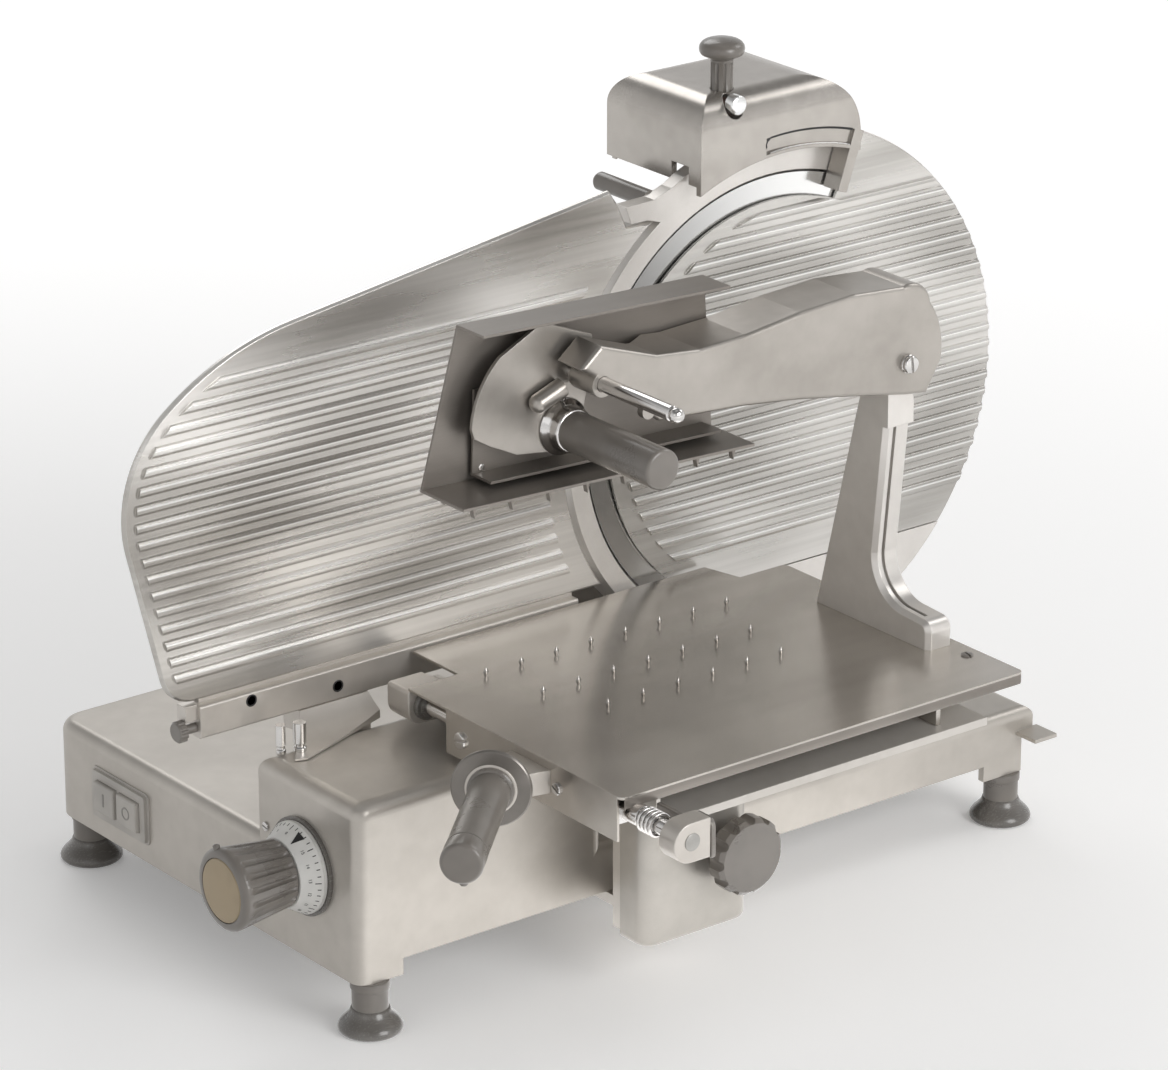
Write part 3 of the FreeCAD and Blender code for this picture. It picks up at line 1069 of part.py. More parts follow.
def press_arm():
    """The hollow swinging arm with the boss for the guide rod at its left end."""
    x, z, long = S.pivot_x, S.pivot_z, S.press_arm_reach
    front, back, wall = S.press_arm_front, S.press_arm_back, S.press_arm_wall
    depth = back - front
    arm = Piece("press_arm")
    lower = [(-0.932, 0.151), (-0.766, 0.019), (-0.508, -0.001), (-0.338, -0.022), (-0.141, -0.056),
             (0.001, -0.083), (0.068, -0.092)]
    right = [(0.114, -0.014, 0.204, "left"), (0.076, 0.141, 0.068, "left")]
    upper = [(-0.012, 0.197), (-0.168, 0.209), (-0.338, 0.199), (-0.508, 0.178), (-0.647, 0.172),
             (-0.773, 0.185), (-0.942, 0.243), (-1, 0.196)]
    arm.pad("XZ", front, back, scaled((x, z), long, lower + right + upper))
    arm.round(S.press_arm_round, on_planes(y=front))
    arm.pocket("XY", z - long * 0.1, z + long * 0.3, [
        (x - long, back + 1), (x - long, front + depth * 0.57), (x - long * 0.8, front + depth * 0.57),
        (x - long * 0.7, back), (x - long * 0.7, back + 1)])
    arm.pocket("XZ", front + wall, back - wall, scaled((x, z), long, [
        (-0.83, -0.15), (0.2, -0.15), (0.2, -0.02), (0.09, -0.02), (0.05, 0.12), (-0.012, 0.177),
        (-0.168, 0.189), (-0.338, 0.179), (-0.508, 0.158), (-0.647, 0.152), (-0.773, 0.165),
        (-0.83, 0.18)]))
    arm.pocket("XZ", front, back, circle(x, z, S.pivot_radius + S.shaft_gap))
    boss = front + depth * 0.57
    arm.pad("XZ", front, boss, circle(S.guide_rod_x, S.guide_rod_z, S.guide_rod_radius * 1.7))
    arm.pocket("XZ", front - 1, boss, circle(
        S.guide_rod_x, S.guide_rod_z, S.guide_rod_radius + S.shaft_gap))
    arm.pad("XZ", front - 6, front, circle(x - long * 0.817, z + long * 0.06, S.guide_rod_radius))
    rod = Piece("press_guide_rod")
    rod.pad("XZ", S.guide_rod_front, S.head_y - S.plate_offset - S.head_sheet, circle(
        S.guide_rod_x, S.guide_rod_z, S.guide_rod_radius))
    rod.bevel(S.guide_rod_radius * 0.4, on_planes(y=S.guide_rod_front))
    grip = Piece("press_grip", S.press_grip_x, S.press_grip_front, S.press_grip_z, ALONG_Y)
    wide, length = S.press_grip_radius, S.lobe_y - S.press_grip_front
    grip.lathe([(0, 0), (wide - 2, 0), (wide, 2), (wide, length), (0, length)])


def press_head():
    """The press head: a folded sheet box with teeth, an inner plate and a guard plate."""
    half, tall, sheet = S.head_width / 2, S.head_height, S.head_sheet
    piece = Piece("press_head", S.head_x, S.head_y, S.head_bottom, HEAD_TILT)
    narrow = half - S.head_draw_in
    piece.pad("XZ", -sheet, 0, [
        (-half, 0), (half, 0), (narrow + sheet, tall), (S.head_draw_in - narrow, tall)])
    piece.pad("XZ", -S.head_flange, -sheet, rectangle(-half, 0, half, sheet))
    piece.pad("XZ", -S.head_top_flange, -sheet, rectangle(
        S.head_draw_in - narrow, tall - sheet, narrow + sheet, tall))
    near, far = S.plate_left, S.plate_right
    face, rim = -S.plate_offset, S.plate_low
    piece.pad("XZ", face - sheet, face, rectangle(near, rim, far, S.plate_high))
    piece.pad("XZ", -S.plate_lip, face, rectangle(near, rim - sheet, far, rim))
    piece.pad("XZ", face, -sheet, rectangle(
        near + S.plate_block_inset, rim + S.plate_block_rise,
        far - S.plate_block_inset, rim + S.plate_block_rise + S.plate_block_height))
    inset, sharp = S.tooth_inset, S.tooth_radius
    for row in (S.tooth_row - S.head_flange, -S.tooth_row):
        tooth = piece.pad("XZ", row - sharp, row + sharp, [
            (inset - half - sharp, sheet / 4), (inset - half, -S.tooth_height),
            (inset - half + sharp, sheet / 4)])
        piece.repeat_along(tooth, "X", S.head_width - 2 * inset, 8)


def press_guard_plate():
    """The lobed plate between the grip and the head, with the tube across its face."""
    plate = Piece("press_guard_blank")
    face, thick, long = S.lobe_y, S.lobed_plate_thick, S.press_arm_reach
    plate.pad("XZ", face, face + thick, scaled((S.pivot_x, S.pivot_z), long, [
        (-1.224, 0.043), (-1.18, 0.016), (-1.102, -0.022), (-1.047, -0.03), (-0.929, -0.049),
        (-0.874, 0.189), (-0.881, 0.229), (-1.024, 0.287), (-1.149, 0.226, 0.238, "left"),
        (-1.231, 0.067)]))
    plate.pocket("XZ", face - 1, face + thick, circle(
        S.guide_rod_x, S.guide_rod_z, S.guide_rod_radius))
    wide = S.tube_radius
    tube = Piece("press_tube", S.tube_x, face - wide * 0.8, S.tube_z, TUBE_TURN, keep=False)
    tube.lathe([(0, -wide, wide, "left"), (wide, 0), (wide, S.tube_length), (0, S.tube_length)])
    return combine("Fuse", "press_guard_plate", plate.body, tube.body)


def inlet():
    """The power inlet on the back wall."""
    gland = Piece("power_inlet", base_right - S.inlet_inset, S.base_depth, S.switch_z, ALONG_Y)
    bore, flange, long = S.inlet_bore, S.inlet_flange, S.inlet_length
    gland.lathe([(bore, 0), (flange, 0), (flange, 3), (flange - 3, 4), (flange - 3, long - 2),
                 (flange - 4.5, long), (bore, long)])


# ---------------------------------------------------------------- build and write

def export():
    """Check every object and write each sub-part to its own STEP file."""
    doc.recompute()
    bad = [o.Name for o in doc.Objects if any(word in o.State for word in ("Invalid", "Error"))]
    bad += [o.Label for o in subparts if o.Shape.isNull() or not o.Shape.isValid()]
    if bad:
        raise RuntimeError(f"these objects failed: {bad}")
    os.makedirs("parts", exist_ok=True)
    for old in os.listdir("parts"):
        if old.endswith(".step"):
            os.remove(os.path.join("parts", old))
    for part in subparts:
        part.Shape.exportStep(os.path.join("parts", f"{part.Label}.step"))


for build in (base_housing, feet, bottom_cover, dial, switch, gauge_plate, gauge_carrier,
              blade, guard, blade_cover, slice_deflector, drive, sharpener, carriage, table,
              handle, press_post, press_arm, press_head, press_guard_plate, inlet):
    build()
export()
print(len(subparts), "sub-parts")
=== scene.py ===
"""Finishes, fine pieces, camera, lamps and floor of a vertical meat slicer, in metres."""
import json
import logging
import math
from dataclasses import dataclass, field
from enum import Enum
from typing import Any, Callable, Dict, List, Optional, Sequence, Tuple, Union

import bmesh
import bpy
from mathutils import Matrix, Vector


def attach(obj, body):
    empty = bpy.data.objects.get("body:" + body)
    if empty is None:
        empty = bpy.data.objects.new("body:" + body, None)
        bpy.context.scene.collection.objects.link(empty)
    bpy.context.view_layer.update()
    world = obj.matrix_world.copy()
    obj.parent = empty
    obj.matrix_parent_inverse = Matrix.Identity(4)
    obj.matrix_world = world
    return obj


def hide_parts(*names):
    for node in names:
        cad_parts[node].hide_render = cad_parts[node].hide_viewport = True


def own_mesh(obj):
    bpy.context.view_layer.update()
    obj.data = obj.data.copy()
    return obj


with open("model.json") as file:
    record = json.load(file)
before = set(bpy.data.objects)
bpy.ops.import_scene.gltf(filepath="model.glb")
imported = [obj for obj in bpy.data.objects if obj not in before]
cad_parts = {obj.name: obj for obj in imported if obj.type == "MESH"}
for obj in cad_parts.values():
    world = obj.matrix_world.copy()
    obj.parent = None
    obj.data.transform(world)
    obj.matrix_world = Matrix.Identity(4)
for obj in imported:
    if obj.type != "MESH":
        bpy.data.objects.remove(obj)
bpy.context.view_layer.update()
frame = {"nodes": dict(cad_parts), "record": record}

LOG = logging.getLogger("slicer")
MM = 0.001
CORNER = (307.5, 85.0)
Colour = Tuple[float, float, float]
Number = Union[int, float]
Profile = Tuple[Tuple[float, float], ...]


# ------------------------------------------------------------------ shader sums

class Signal:
    """One output socket of a node, with the operators that the finishes use."""

    def __init__(self, tree: "Tree", socket: bpy.types.NodeSocket) -> None:
        """Keeps the socket and the tree that it belongs to."""
        self.tree = tree
        self.socket = socket

    def __add__(self, other: Union["Signal", Number]) -> "Signal":
        """This plus other."""
        return self.tree.maths("ADD", self, other)

    def __radd__(self, other: Number) -> "Signal":
        """Other plus this."""
        return self.tree.maths("ADD", other, self)

    def __sub__(self, other: Union["Signal", Number]) -> "Signal":
        """This less other."""
        return self.tree.maths("SUBTRACT", self, other)

    def __rsub__(self, other: Number) -> "Signal":
        """Other less this."""
        return self.tree.maths("SUBTRACT", other, self)

    def __mul__(self, other: Union["Signal", Number]) -> "Signal":
        """This times other."""
        return self.tree.maths("MULTIPLY", self, other)

    def __rmul__(self, other: Number) -> "Signal":
        """Other times this."""
        return self.tree.maths("MULTIPLY", other, self)

    def __truediv__(self, other: Union["Signal", Number]) -> "Signal":
        """This over other."""
        return self.tree.maths("DIVIDE", self, other)

    def __pow__(self, other: Number) -> "Signal":
        """This to a power."""
        return self.tree.maths("POWER", self, other)

    def clamp(self) -> "Signal":
        """This, kept between 0 and 1."""
        return self.tree.node("ShaderNodeClamp", {}, {"Value": self})

    def ramp(self, low: float, high: float) -> "Signal":
        """A smooth step from 0 at low to 1 at high."""
        return self.tree.node("ShaderNodeMapRange", {"interpolation_type": "SMOOTHSTEP"},
                              {"Value": self, "From Min": low, "From Max": high})


class Tree:
    """The node tree of one material or world, which finishes fill through one method."""

    def __init__(self, owner: Union[bpy.types.Material, bpy.types.World]) -> None:
        """Empties the owner's tree.

        Args:
            owner: the material or world.
        """
        owner.use_nodes = True
        self.nodes = owner.node_tree.nodes
        self.links = owner.node_tree.links
        self.nodes.clear()

    def node(self, kind: str, settings: Dict[str, Any], inputs: Dict[Any, Any], output: Any = 0) -> Signal:
        """Adds one node.

        Args:
            kind: the node's type.
            settings: its attributes, set first; "stops" holds a ramp's positions and colours.
            inputs: a value or a Signal for each socket, by name or index.
            output: the name or index of the socket to give back.

        Returns:
            The chosen output.
        """
        node = self.nodes.new(kind)
        for name, value in settings.items():
            if name == "stops":
                self.set_stops(node.color_ramp, value)
            else:
                setattr(node, name, value)
        for name, value in inputs.items():
            if isinstance(value, Signal):
                self.links.new(value.socket, node.inputs[name])
            else:
                node.inputs[name].default_value = value
        return Signal(self, node.outputs[output])

    def maths(self, operation: str, *terms: Union[Signal, Number]) -> Signal:
        """The result of one Math node, from its operation and its inputs in order."""
        return self.node("ShaderNodeMath", {"operation": operation}, dict(enumerate(terms)))

    def set_stops(self, ramp: bpy.types.ColorRamp, stops: Sequence[Tuple[float, float]]) -> None:
        """Gives a ramp its grey stops.

        Args:
            ramp: the ramp.
            stops: each stop's position and level.
        """
        while len(ramp.elements) < len(stops):
            ramp.elements.new(0.5)
        for element, (position, level) in zip(ramp.elements, stops):
            element.position = position
            element.color = (level, level, level, 1.0)

    def place(self) -> Signal:
        """The point on the piece, in metres, in the part's frame at rest."""
        return self.node("ShaderNodeTexCoord", {}, {}, "Object")

    def axis(self, name: str) -> Signal:
        """One coordinate of the point on the piece."""
        return self.node("ShaderNodeSeparateXYZ", {}, {"Vector": self.place()}, name)

    def noise(self, size: float, stretch: Sequence[float] = (1, 1, 1), detail: float = 2.0) -> Signal:
        """Cloudy noise whose blotches are about one size, in metres, and stretched along each axis."""
        scaled = self.node("ShaderNodeVectorMath", {"operation": "DIVIDE"},
                           {0: self.place(), 1: tuple(stretch)})
        return self.noise_at(scaled, size, detail)

    def noise_at(self, place: Signal, size: float, detail: float) -> Signal:
        """Noise at a place that other nodes work out."""
        return self.node("ShaderNodeTexNoise", {}, {"Vector": place, "Scale": 1 / size, "Detail": detail},
                         "Fac")

    def tint(self, factor: Union[Signal, float], dark: Colour, light: Colour) -> Signal:
        """A colour between two, by a factor."""
        return self.overlay(factor, (*dark, 1), light)

    def overlay(self, factor: Union[Signal, float], below: Union[Signal, Tuple[float, ...]],
                above: Colour) -> Signal:
        """One colour over another, by a factor."""
        return self.node("ShaderNodeMix", {"data_type": "RGBA"}, {0: factor, 6: below, 7: (*above, 1)}, 2)

    def bump(self, height: Signal, depth: float, below: Optional[Signal] = None) -> Signal:
        """A bumped normal.

        Args:
            height: the relief, from 0 to 1.
            depth: how much 1 stands for, in metres.
            below: the normal that the relief lies on.

        Returns:
            The normal.
        """
        inputs: Dict[Any, Any] = {"Height": height, "Distance": depth, "Strength": 1.0}
        if below is not None:
            inputs["Normal"] = below
        return self.node("ShaderNodeBump", {}, inputs)

    def soft_edges(self, radius: float) -> Signal:
        """The normal of the surface with its sharp edges rounded."""
        return self.node("ShaderNodeBevel", {"samples": 4}, {"Radius": radius})


# ------------------------------------------------------------------ finishes

def close(tree: Tree, **inputs: Any) -> None:
    """Ends a material with a Principled shader.

    Args:
        tree: the material's tree.
        inputs: the shader's sockets by name, with _ for a space.
    """
    sockets = {name.replace("_", " "): value for name, value in inputs.items()}
    surface = tree.node("ShaderNodeBsdfPrincipled", {}, sockets)
    output = tree.nodes.new("ShaderNodeOutputMaterial")
    tree.links.new(surface.socket, output.inputs["Surface"])


@dataclass(frozen=True)
class Finish:
    """What every finish shares: a name and one material, made when it is first asked for."""

    name: str

    def paint(self, tree: Tree) -> None:
        """Fills the material's tree."""
        raise NotImplementedError

    def material(self) -> bpy.types.Material:
        """The finish as a material.

        Returns:
            The material, made when it is first asked for.
        """
        found = bpy.data.materials.get(self.name)
        if found is None:
            found = bpy.data.materials.new(self.name)
            self.paint(Tree(found))
        return found


@dataclass(frozen=True)
class Metal(Finish):
    """Cast, folded or turned metal: grain, long streaks, cloudy tone, painted shade in creases, soft edges.

    Attributes:
        dark, light: the two tones that the clouds run between.
        roughness: the middle roughness.
        grain: the width of one grain line, in metres.
        depth: how deep the grain is, in metres.
        lines: how far the grain is drawn out along X, Y and Z.
        edge: the radius that sharp edges seem to have, in metres.
        metallic: how much of the light is mirrored as metal does; the rest is the dull skin of satin metal.
        grime: how dark the shade painted into the creases is.
        streaks: how strong the long streaks are.
        cloud: the size of the clouds, in metres.
        streak: the width of one streak, in metres.
        corner: how far from an inner corner the painted shade reaches, in metres.
    """

    dark: Colour = (0.53, 0.495, 0.455)
    light: Colour = (0.64, 0.605, 0.56)
    roughness: float = 0.36
    grain: float = 0.0005
    depth: float = 0.000012
    lines: Tuple[float, float, float] = (1.0, 1.0, 1.0)
    edge: float = 0.0008
    metallic: float = 0.62
    grime: float = 0.45
    streaks: float = 0.2
    cloud: float = 0.07
    streak: float = 0.0022
    corner: float = 0.007

    def paint(self, tree: Tree) -> None:
        """Clouds of tone, long streaks, fine grain and shade painted into the creases.

        Args:
            tree: the material's empty tree.
        """
        clouds = tree.noise(self.cloud, (1.5, 1.5, 1.0), 3.0)
        grain = tree.noise(self.grain, self.lines)
        streak = tree.noise(self.streak, tuple(side * 6.0 for side in self.lines))
        tone = (clouds * (0.8 - self.streaks) + streak * self.streaks + grain * 0.2).ramp(0.32, 0.68)
        colour = self.crease(tree, tree.tint(tone, self.dark, self.light))
        rough = self.roughness + (grain - 0.5) * 0.06 + (clouds - 0.5) * 0.08
        close(tree, Base_Color=colour, Metallic=self.metallic, Roughness=rough,
              Normal=tree.bump(grain, self.depth, tree.soft_edges(self.edge)))

    def crease(self, tree: Tree, colour: Signal) -> Signal:
        """Paints shade into inner corners and creases.

        Args:
            tree: the material's tree.
            colour: the clean colour.

        Returns:
            The colour with shade painted into its corners.
        """
        if self.grime <= 0:
            return colour
        # painted shade: ambient occlusion darkens the colour in creases and inner corners, where shade falls
        open_air = tree.node("ShaderNodeAmbientOcclusion", {"samples": 4, "only_local": True},
                             {"Distance": self.corner}, "AO")
        deep = (1 - open_air).ramp(0.25, 0.85) * self.grime
        return tree.overlay(deep, colour, tuple(side * 0.3 for side in self.dark))


@dataclass(frozen=True)
class Ribbed(Metal):
    """A ribbed casting, smoother on the rib crests, with highlights painted on them and shade at the feet.

    Attributes:
        face: the place of the flat face along Y, in metres.
        proud: how far the ribs stand out, in metres.
        first: the height of the lowest rib, in metres.
        pitch: the step from rib to rib, in metres.
        scratch: how strong the streaks along the ribs are.
        crest_at, foot_at: where in one pitch the crest's painted highlight and the foot's painted shade lie.
        crest_fall, foot_fall: how quickly each of them fades.
        crest_tone, foot_tone: the colour of the painted highlight and of the painted shade.
    """

    face: float = 0.0584
    proud: float = 0.0026
    first: float = 0.241
    pitch: float = 0.0132
    cloud: float = 0.14
    streak: float = 0.0042
    scratch: float = 0.16
    crest_at: float = 0.10
    foot_at: float = -0.36
    crest_fall: float = 160.0
    foot_fall: float = 520.0
    crest_tone: Colour = (0.92, 0.91, 0.89)
    foot_tone: Colour = (0.17, 0.16, 0.15)

    def paint(self, tree: Tree) -> None:
        """Painted highlights on the crests, thin painted shade at the feet, and streaks drawn out along the
        ribs.

        Args:
            tree: the material's empty tree.
        """
        height = tree.axis("Z")
        out = (self.face - tree.axis("Y")) / self.proud
        phase = tree.maths("FRACT", (height - self.first) / self.pitch + 0.5) - 0.5
        from_crest = phase - self.crest_at
        from_foot = phase - self.foot_at
        crest = out.ramp(0.8, 1.0) * (1 - from_crest * from_crest * self.crest_fall).clamp()
        foot = out.ramp(0.05, 0.25) * (1 - from_foot * from_foot * self.foot_fall).clamp()
        broad = tree.noise(0.5, detail=0.0)
        wide = tree.noise(self.cloud, (1.4, 1.0, 0.5), 1.0)
        streak = tree.noise(self.streak, (45.0, 1.0, 1.0))
        grain = tree.noise(self.grain, self.lines)
        clouds = wide * (0.93 - self.scratch) + streak * self.scratch + (broad - 0.5) * 0.1
        tone = (clouds + (1 - self.scratch) * 0.07).ramp(0.34, 0.66)
        # painted highlight along each crest and painted shade along each rib's foot, laid over the tone
        colour = tree.overlay(crest * 0.8, tree.tint(tone, self.dark, self.light), self.crest_tone)
        colour = tree.overlay(foot * 0.85, colour, self.foot_tone)
        rough = self.roughness + (wide - 0.5) * 0.30 - crest * 0.10 + (streak - 0.5) * 0.06
        close(tree, Base_Color=self.crease(tree, colour), Metallic=self.metallic, Roughness=rough.clamp(),
              Normal=tree.bump(streak * 0.7 + grain * 0.3, self.depth, tree.soft_edges(self.edge)))


@dataclass(frozen=True)
class Ground(Metal):
    """Steel ground in rings about the blade's middle, with a bow of sheen painted into its colour.

    Attributes:
        middle: the blade's middle along X and Z, in metres.
        bow: the angle of the bright side of the painted sheen, in degrees.
        ring: the width of one ring, in metres.
    """

    middle: Tuple[float, float] = (0.1805, 0.3326)
    bow: float = 68.0
    ring: float = 0.0007

    def paint(self, tree: Tree) -> None:
        """Rings, and a broad painted sheen, brighter on two opposite sides and darker between them.

        Args:
            tree: the material's empty tree.
        """
        across = tree.axis("X") - self.middle[0]
        rise = tree.axis("Z") - self.middle[1]
        reach = (across * across + rise * rise) ** 0.5
        rings = tree.noise_at(tree.node("ShaderNodeCombineXYZ", {}, {"X": reach}), self.ring, 3.0)
        turn = tree.maths("ARCTAN2", rise, across)
        # painted sheen: colour brighter and darker by the angle about the middle, standing in for light that
        # the steel mirrors
        bow = tree.maths("COSINE", (turn - math.radians(self.bow)) * 2.0)
        tone = ((bow * 0.5 + 0.5) * 0.75 + rings * 0.25).clamp()
        close(tree, Base_Color=tree.tint(tone, self.dark, self.light), Metallic=self.metallic,
              Roughness=self.roughness + (rings - 0.5) * 0.08,
              Normal=tree.bump(rings, self.depth, tree.soft_edges(self.edge)))


@dataclass(frozen=True)
class Moulding(Finish):
    """Moulded plastic or rubber.

    Attributes:
        colour: its colour.
        roughness: its roughness.
        grain: the size of the moulded texture, in metres.
        depth: the depth of the moulded texture, in metres.
        coat: how strong the gloss over it is.
        edge: the radius that sharp edges seem to have, in metres.
        cloud: the size of the clouds, in metres.
        scuff: the width of one scuff, in metres.
    """

    colour: Colour = (0.05, 0.045, 0.04)
    roughness: float = 0.3
    grain: float = 0.0005
    depth: float = 0.000004
    coat: float = 0.0
    edge: float = 0.0005
    cloud: float = 0.03
    scuff: float = 0.0012

    def paint(self, tree: Tree) -> None:
        """Slightly uneven colour, faint scuffs and a fine moulded skin.

        Args:
            tree: the material's empty tree.
        """
        clouds = tree.noise(self.cloud)
        scuffs = tree.noise(self.scuff, (9.0, 1.0, 1.0), 3.0)
        skin = tree.noise(self.grain, detail=1.0)
        low, high, pale = (tuple(min(1.0, side * share) for side in self.colour)
                           for share in (0.9, 1.08, 1.35))
        colour = tree.tint(clouds.ramp(0.3, 0.7), low, high)
        colour = tree.overlay(scuffs.ramp(0.62, 0.85) * 0.25, colour, pale)
        rough = self.roughness + (clouds - 0.5) * 0.05 + scuffs.ramp(0.5, 0.8) * 0.08
        close(tree, Base_Color=colour, Roughness=rough, Coat_Weight=self.coat, Coat_Roughness=0.15,
              Normal=tree.bump(skin, self.depth, tree.soft_edges(self.edge)))


ALONG_X = (40.0, 1.0, 1.0)
CAST = Metal("cast_satin_aluminium")
GUARD_CAST = Metal("turned_guard_aluminium", (0.66, 0.63, 0.595), (0.78, 0.75, 0.715), 0.30)
ARM_CAST = Metal("press_arm_aluminium", (0.36, 0.335, 0.305), (0.47, 0.44, 0.405), 0.32, metallic=0.8)
CAP_CAST = Metal("sharpener_cap_aluminium", (0.39, 0.365, 0.335), (0.52, 0.49, 0.455), 0.26, metallic=0.85)
BASE_CAST = Metal("base_aluminium", (0.47, 0.44, 0.40), (0.57, 0.535, 0.49), 0.38)
BED_CAST = Metal("carriage_bed_aluminium", (0.54, 0.51, 0.47), (0.64, 0.61, 0.57), 0.42, metallic=0.3)
# painted shade: a darker copy of the cast aluminium for the carriage, which less light reaches
CARRIAGE_CAST = Metal("carriage_aluminium", (0.36, 0.34, 0.31), (0.46, 0.435, 0.40), 0.34)
RIBBED_PLATE = Ribbed("ribbed_gauge_aluminium", (0.47, 0.45, 0.42), (0.86, 0.835, 0.80), 0.27, metallic=0.8,
                      grime=0.0)
RIBBED_COVER = Ribbed("ribbed_cover_aluminium", (0.40, 0.385, 0.36), (0.70, 0.68, 0.65), 0.28, metallic=0.8,
                      grime=0.0, face=0.0544, first=0.2278)
SHEET = Metal("brushed_stainless_sheet", (0.20, 0.185, 0.168), (0.29, 0.27, 0.25), 0.30, 0.0003,
              0.000005, ALONG_X, 0.0005)
TABLE_SHEET = Metal("brushed_table_sheet", (0.50, 0.468, 0.43), (0.62, 0.585, 0.54), 0.24, 0.0003,
                    0.000004, ALONG_X, 0.0006, metallic=0.9)
# painted reflection: the dark brown tone of the press head and front hem stands in for the dark surroundings
# the steel mirrors
HEAD_SHEET = Metal("press_sheet_painted_dark", (0.20, 0.18, 0.16), (0.27, 0.245, 0.22), 0.36, 0.0003,
                   0.000004, ALONG_X, 0.0004, metallic=0.55)
CHROME = Metal("bright_turned_steel", (0.60, 0.585, 0.57), (0.74, 0.725, 0.71), 0.16, 0.0002, 0.000002,
               edge=0.0004, metallic=1.0, grime=0.3)
BUTTON = Metal("bright_button_steel", (0.86, 0.86, 0.85), (0.94, 0.94, 0.93), 0.2, 0.0002, 0.000001,
               edge=0.0004, metallic=0.9, grime=0.0)
SPIKE = Metal("dark_spike_steel", (0.26, 0.24, 0.22), (0.40, 0.38, 0.36), 0.2, 0.0002, 0.000002,
              edge=0.0003, metallic=0.9, grime=0.0)
PLUG = Metal("dull_rod_end", (0.34, 0.33, 0.31), (0.42, 0.41, 0.39), 0.4, metallic=0.6)
# the blade's dark and light tones are the two ends of its painted sheen
BLADE = Ground("ground_blade_steel", (0.11, 0.105, 0.10), (0.95, 0.95, 0.94), 0.16, 0.0004, 0.000002,
               edge=0.0003, metallic=0.95, grime=0.0)
GRIP = Moulding("dark_grip_plastic", (0.18, 0.163, 0.145), 0.28, 0.0006, 0.000003, 0.3)
RUBBER = Moulding("black_foot_rubber", (0.145, 0.135, 0.123), 0.26, 0.0008, 0.000004, 0.4)
GREY = Moulding("light_grey_switch_plastic", (0.48, 0.455, 0.42), 0.45, 0.0004, 0.000004)
FAINT = Moulding("faint_switch_marks", (0.30, 0.285, 0.265), 0.5, 0.0004, 0.000002)
WHITE = Moulding("white_dial_plastic", (0.72, 0.71, 0.68), 0.4, 0.0004, 0.000003)
CREAM = Moulding("cream_cap_plastic", (0.36, 0.285, 0.185), 0.4, 0.0004, 0.000003)
MOTOR = Moulding("motor_paint", (0.10, 0.105, 0.11), 0.4, 0.0008, 0.00002)
STONE = Moulding("grinding_stone", (0.36, 0.24, 0.20), 0.9, 0.0004, 0.0001)
# plain black for printed marks, the sunk screws and the painted shadow line round the sharpener's window
PLAIN_BLACK = Moulding("plain_black", (0.012, 0.012, 0.012), 0.5, 0.0004, 0.000002)

SLOT_FINISH: Dict[str, Finish] = {
    "cast_aluminium": CAST, "stainless_sheet": SHEET, "steel": CHROME, "blade_steel": BLADE,
    "dark_plastic": GRIP, "grey_plastic": GREY, "white_plastic": WHITE, "cream_plastic": CREAM,
    "black_rubber": RUBBER, "painted_motor": MOTOR, "stone": STONE,
}
NODE_FINISH: Dict[str, Finish] = {
    "gauge_plate": RIBBED_PLATE, "blade_cover": RIBBED_COVER, "blade_guard": GUARD_CAST,
    "press_post": GUARD_CAST, "press_head": HEAD_SHEET, "press_arm": ARM_CAST,
    "press_guard_plate": ARM_CAST, "meat_table": TABLE_SHEET, "carriage_pod": CARRIAGE_CAST,
    "carriage_bed": BED_CAST, "base_housing": BASE_CAST, "sharpener_housing": CAP_CAST,
    "dial_backing": RUBBER,
}


# ------------------------------------------------------------------ helpers for pieces

class Body(Enum):
    """The bodies that pieces ride on."""

    BASE = "base"
    DIAL = "dial"
    GAUGE = "gauge"
    STONE = "stone_spindle"
    BUTTON = "sharpener_button"
    START = "start_button"
    STOP = "stop_button"
    CARRIAGE = "carriage"
    TABLE = "table"
    HEAD = "press_head"


class Way(Enum):
    """The ways that a turned piece can point."""

    LEFT = (-1.0, 0.0, 0.0)
    FRONT = (0.0, -1.0, 0.0)
    BACK = (0.0, 1.0, 0.0)
    UP = (0.0, 0.0, 1.0)
    DOWN = (0.0, 0.0, -1.0)


def at(x: float, y: float, z: float) -> Vector:
    """A point given in millimetres from the front left corner of the base, in the part's frame."""
    return Vector((x - CORNER[0], y - CORNER[1], z)) * MM


def rounded(corners: Sequence[Tuple[float, float, float]], steps: int = 6) -> List[Tuple[float, float]]:
    """Rounds the corners of a flat outline.

    Args:
        corners: each corner's place and radius.
        steps: how many runs stand for one rounding.

    Returns:
        The outline's points.
    """
    points: List[Tuple[float, float]] = []
    count = len(corners)
    for index, (u, v, radius) in enumerate(corners):
        here = Vector((u, v))
        before = Vector(corners[index - 1][:2]) - here
        after = Vector(corners[(index + 1) % count][:2]) - here
        if radius <= 0:
            points.append((u, v))
            continue
        angle = before.angle(after)
        back = radius / math.tan(angle / 2)
        inward = (before.normalized() + after.normalized()).normalized()
        middle = here + inward * (radius / math.sin(angle / 2))
        start = here + before.normalized() * back - middle
        end = here + after.normalized() * back - middle
        sweep = start.angle_signed(end)
        for step in range(steps + 1):
            point = middle + Matrix.Rotation(-sweep * step / steps, 2) @ start
            points.append((point.x, point.y))
    return points


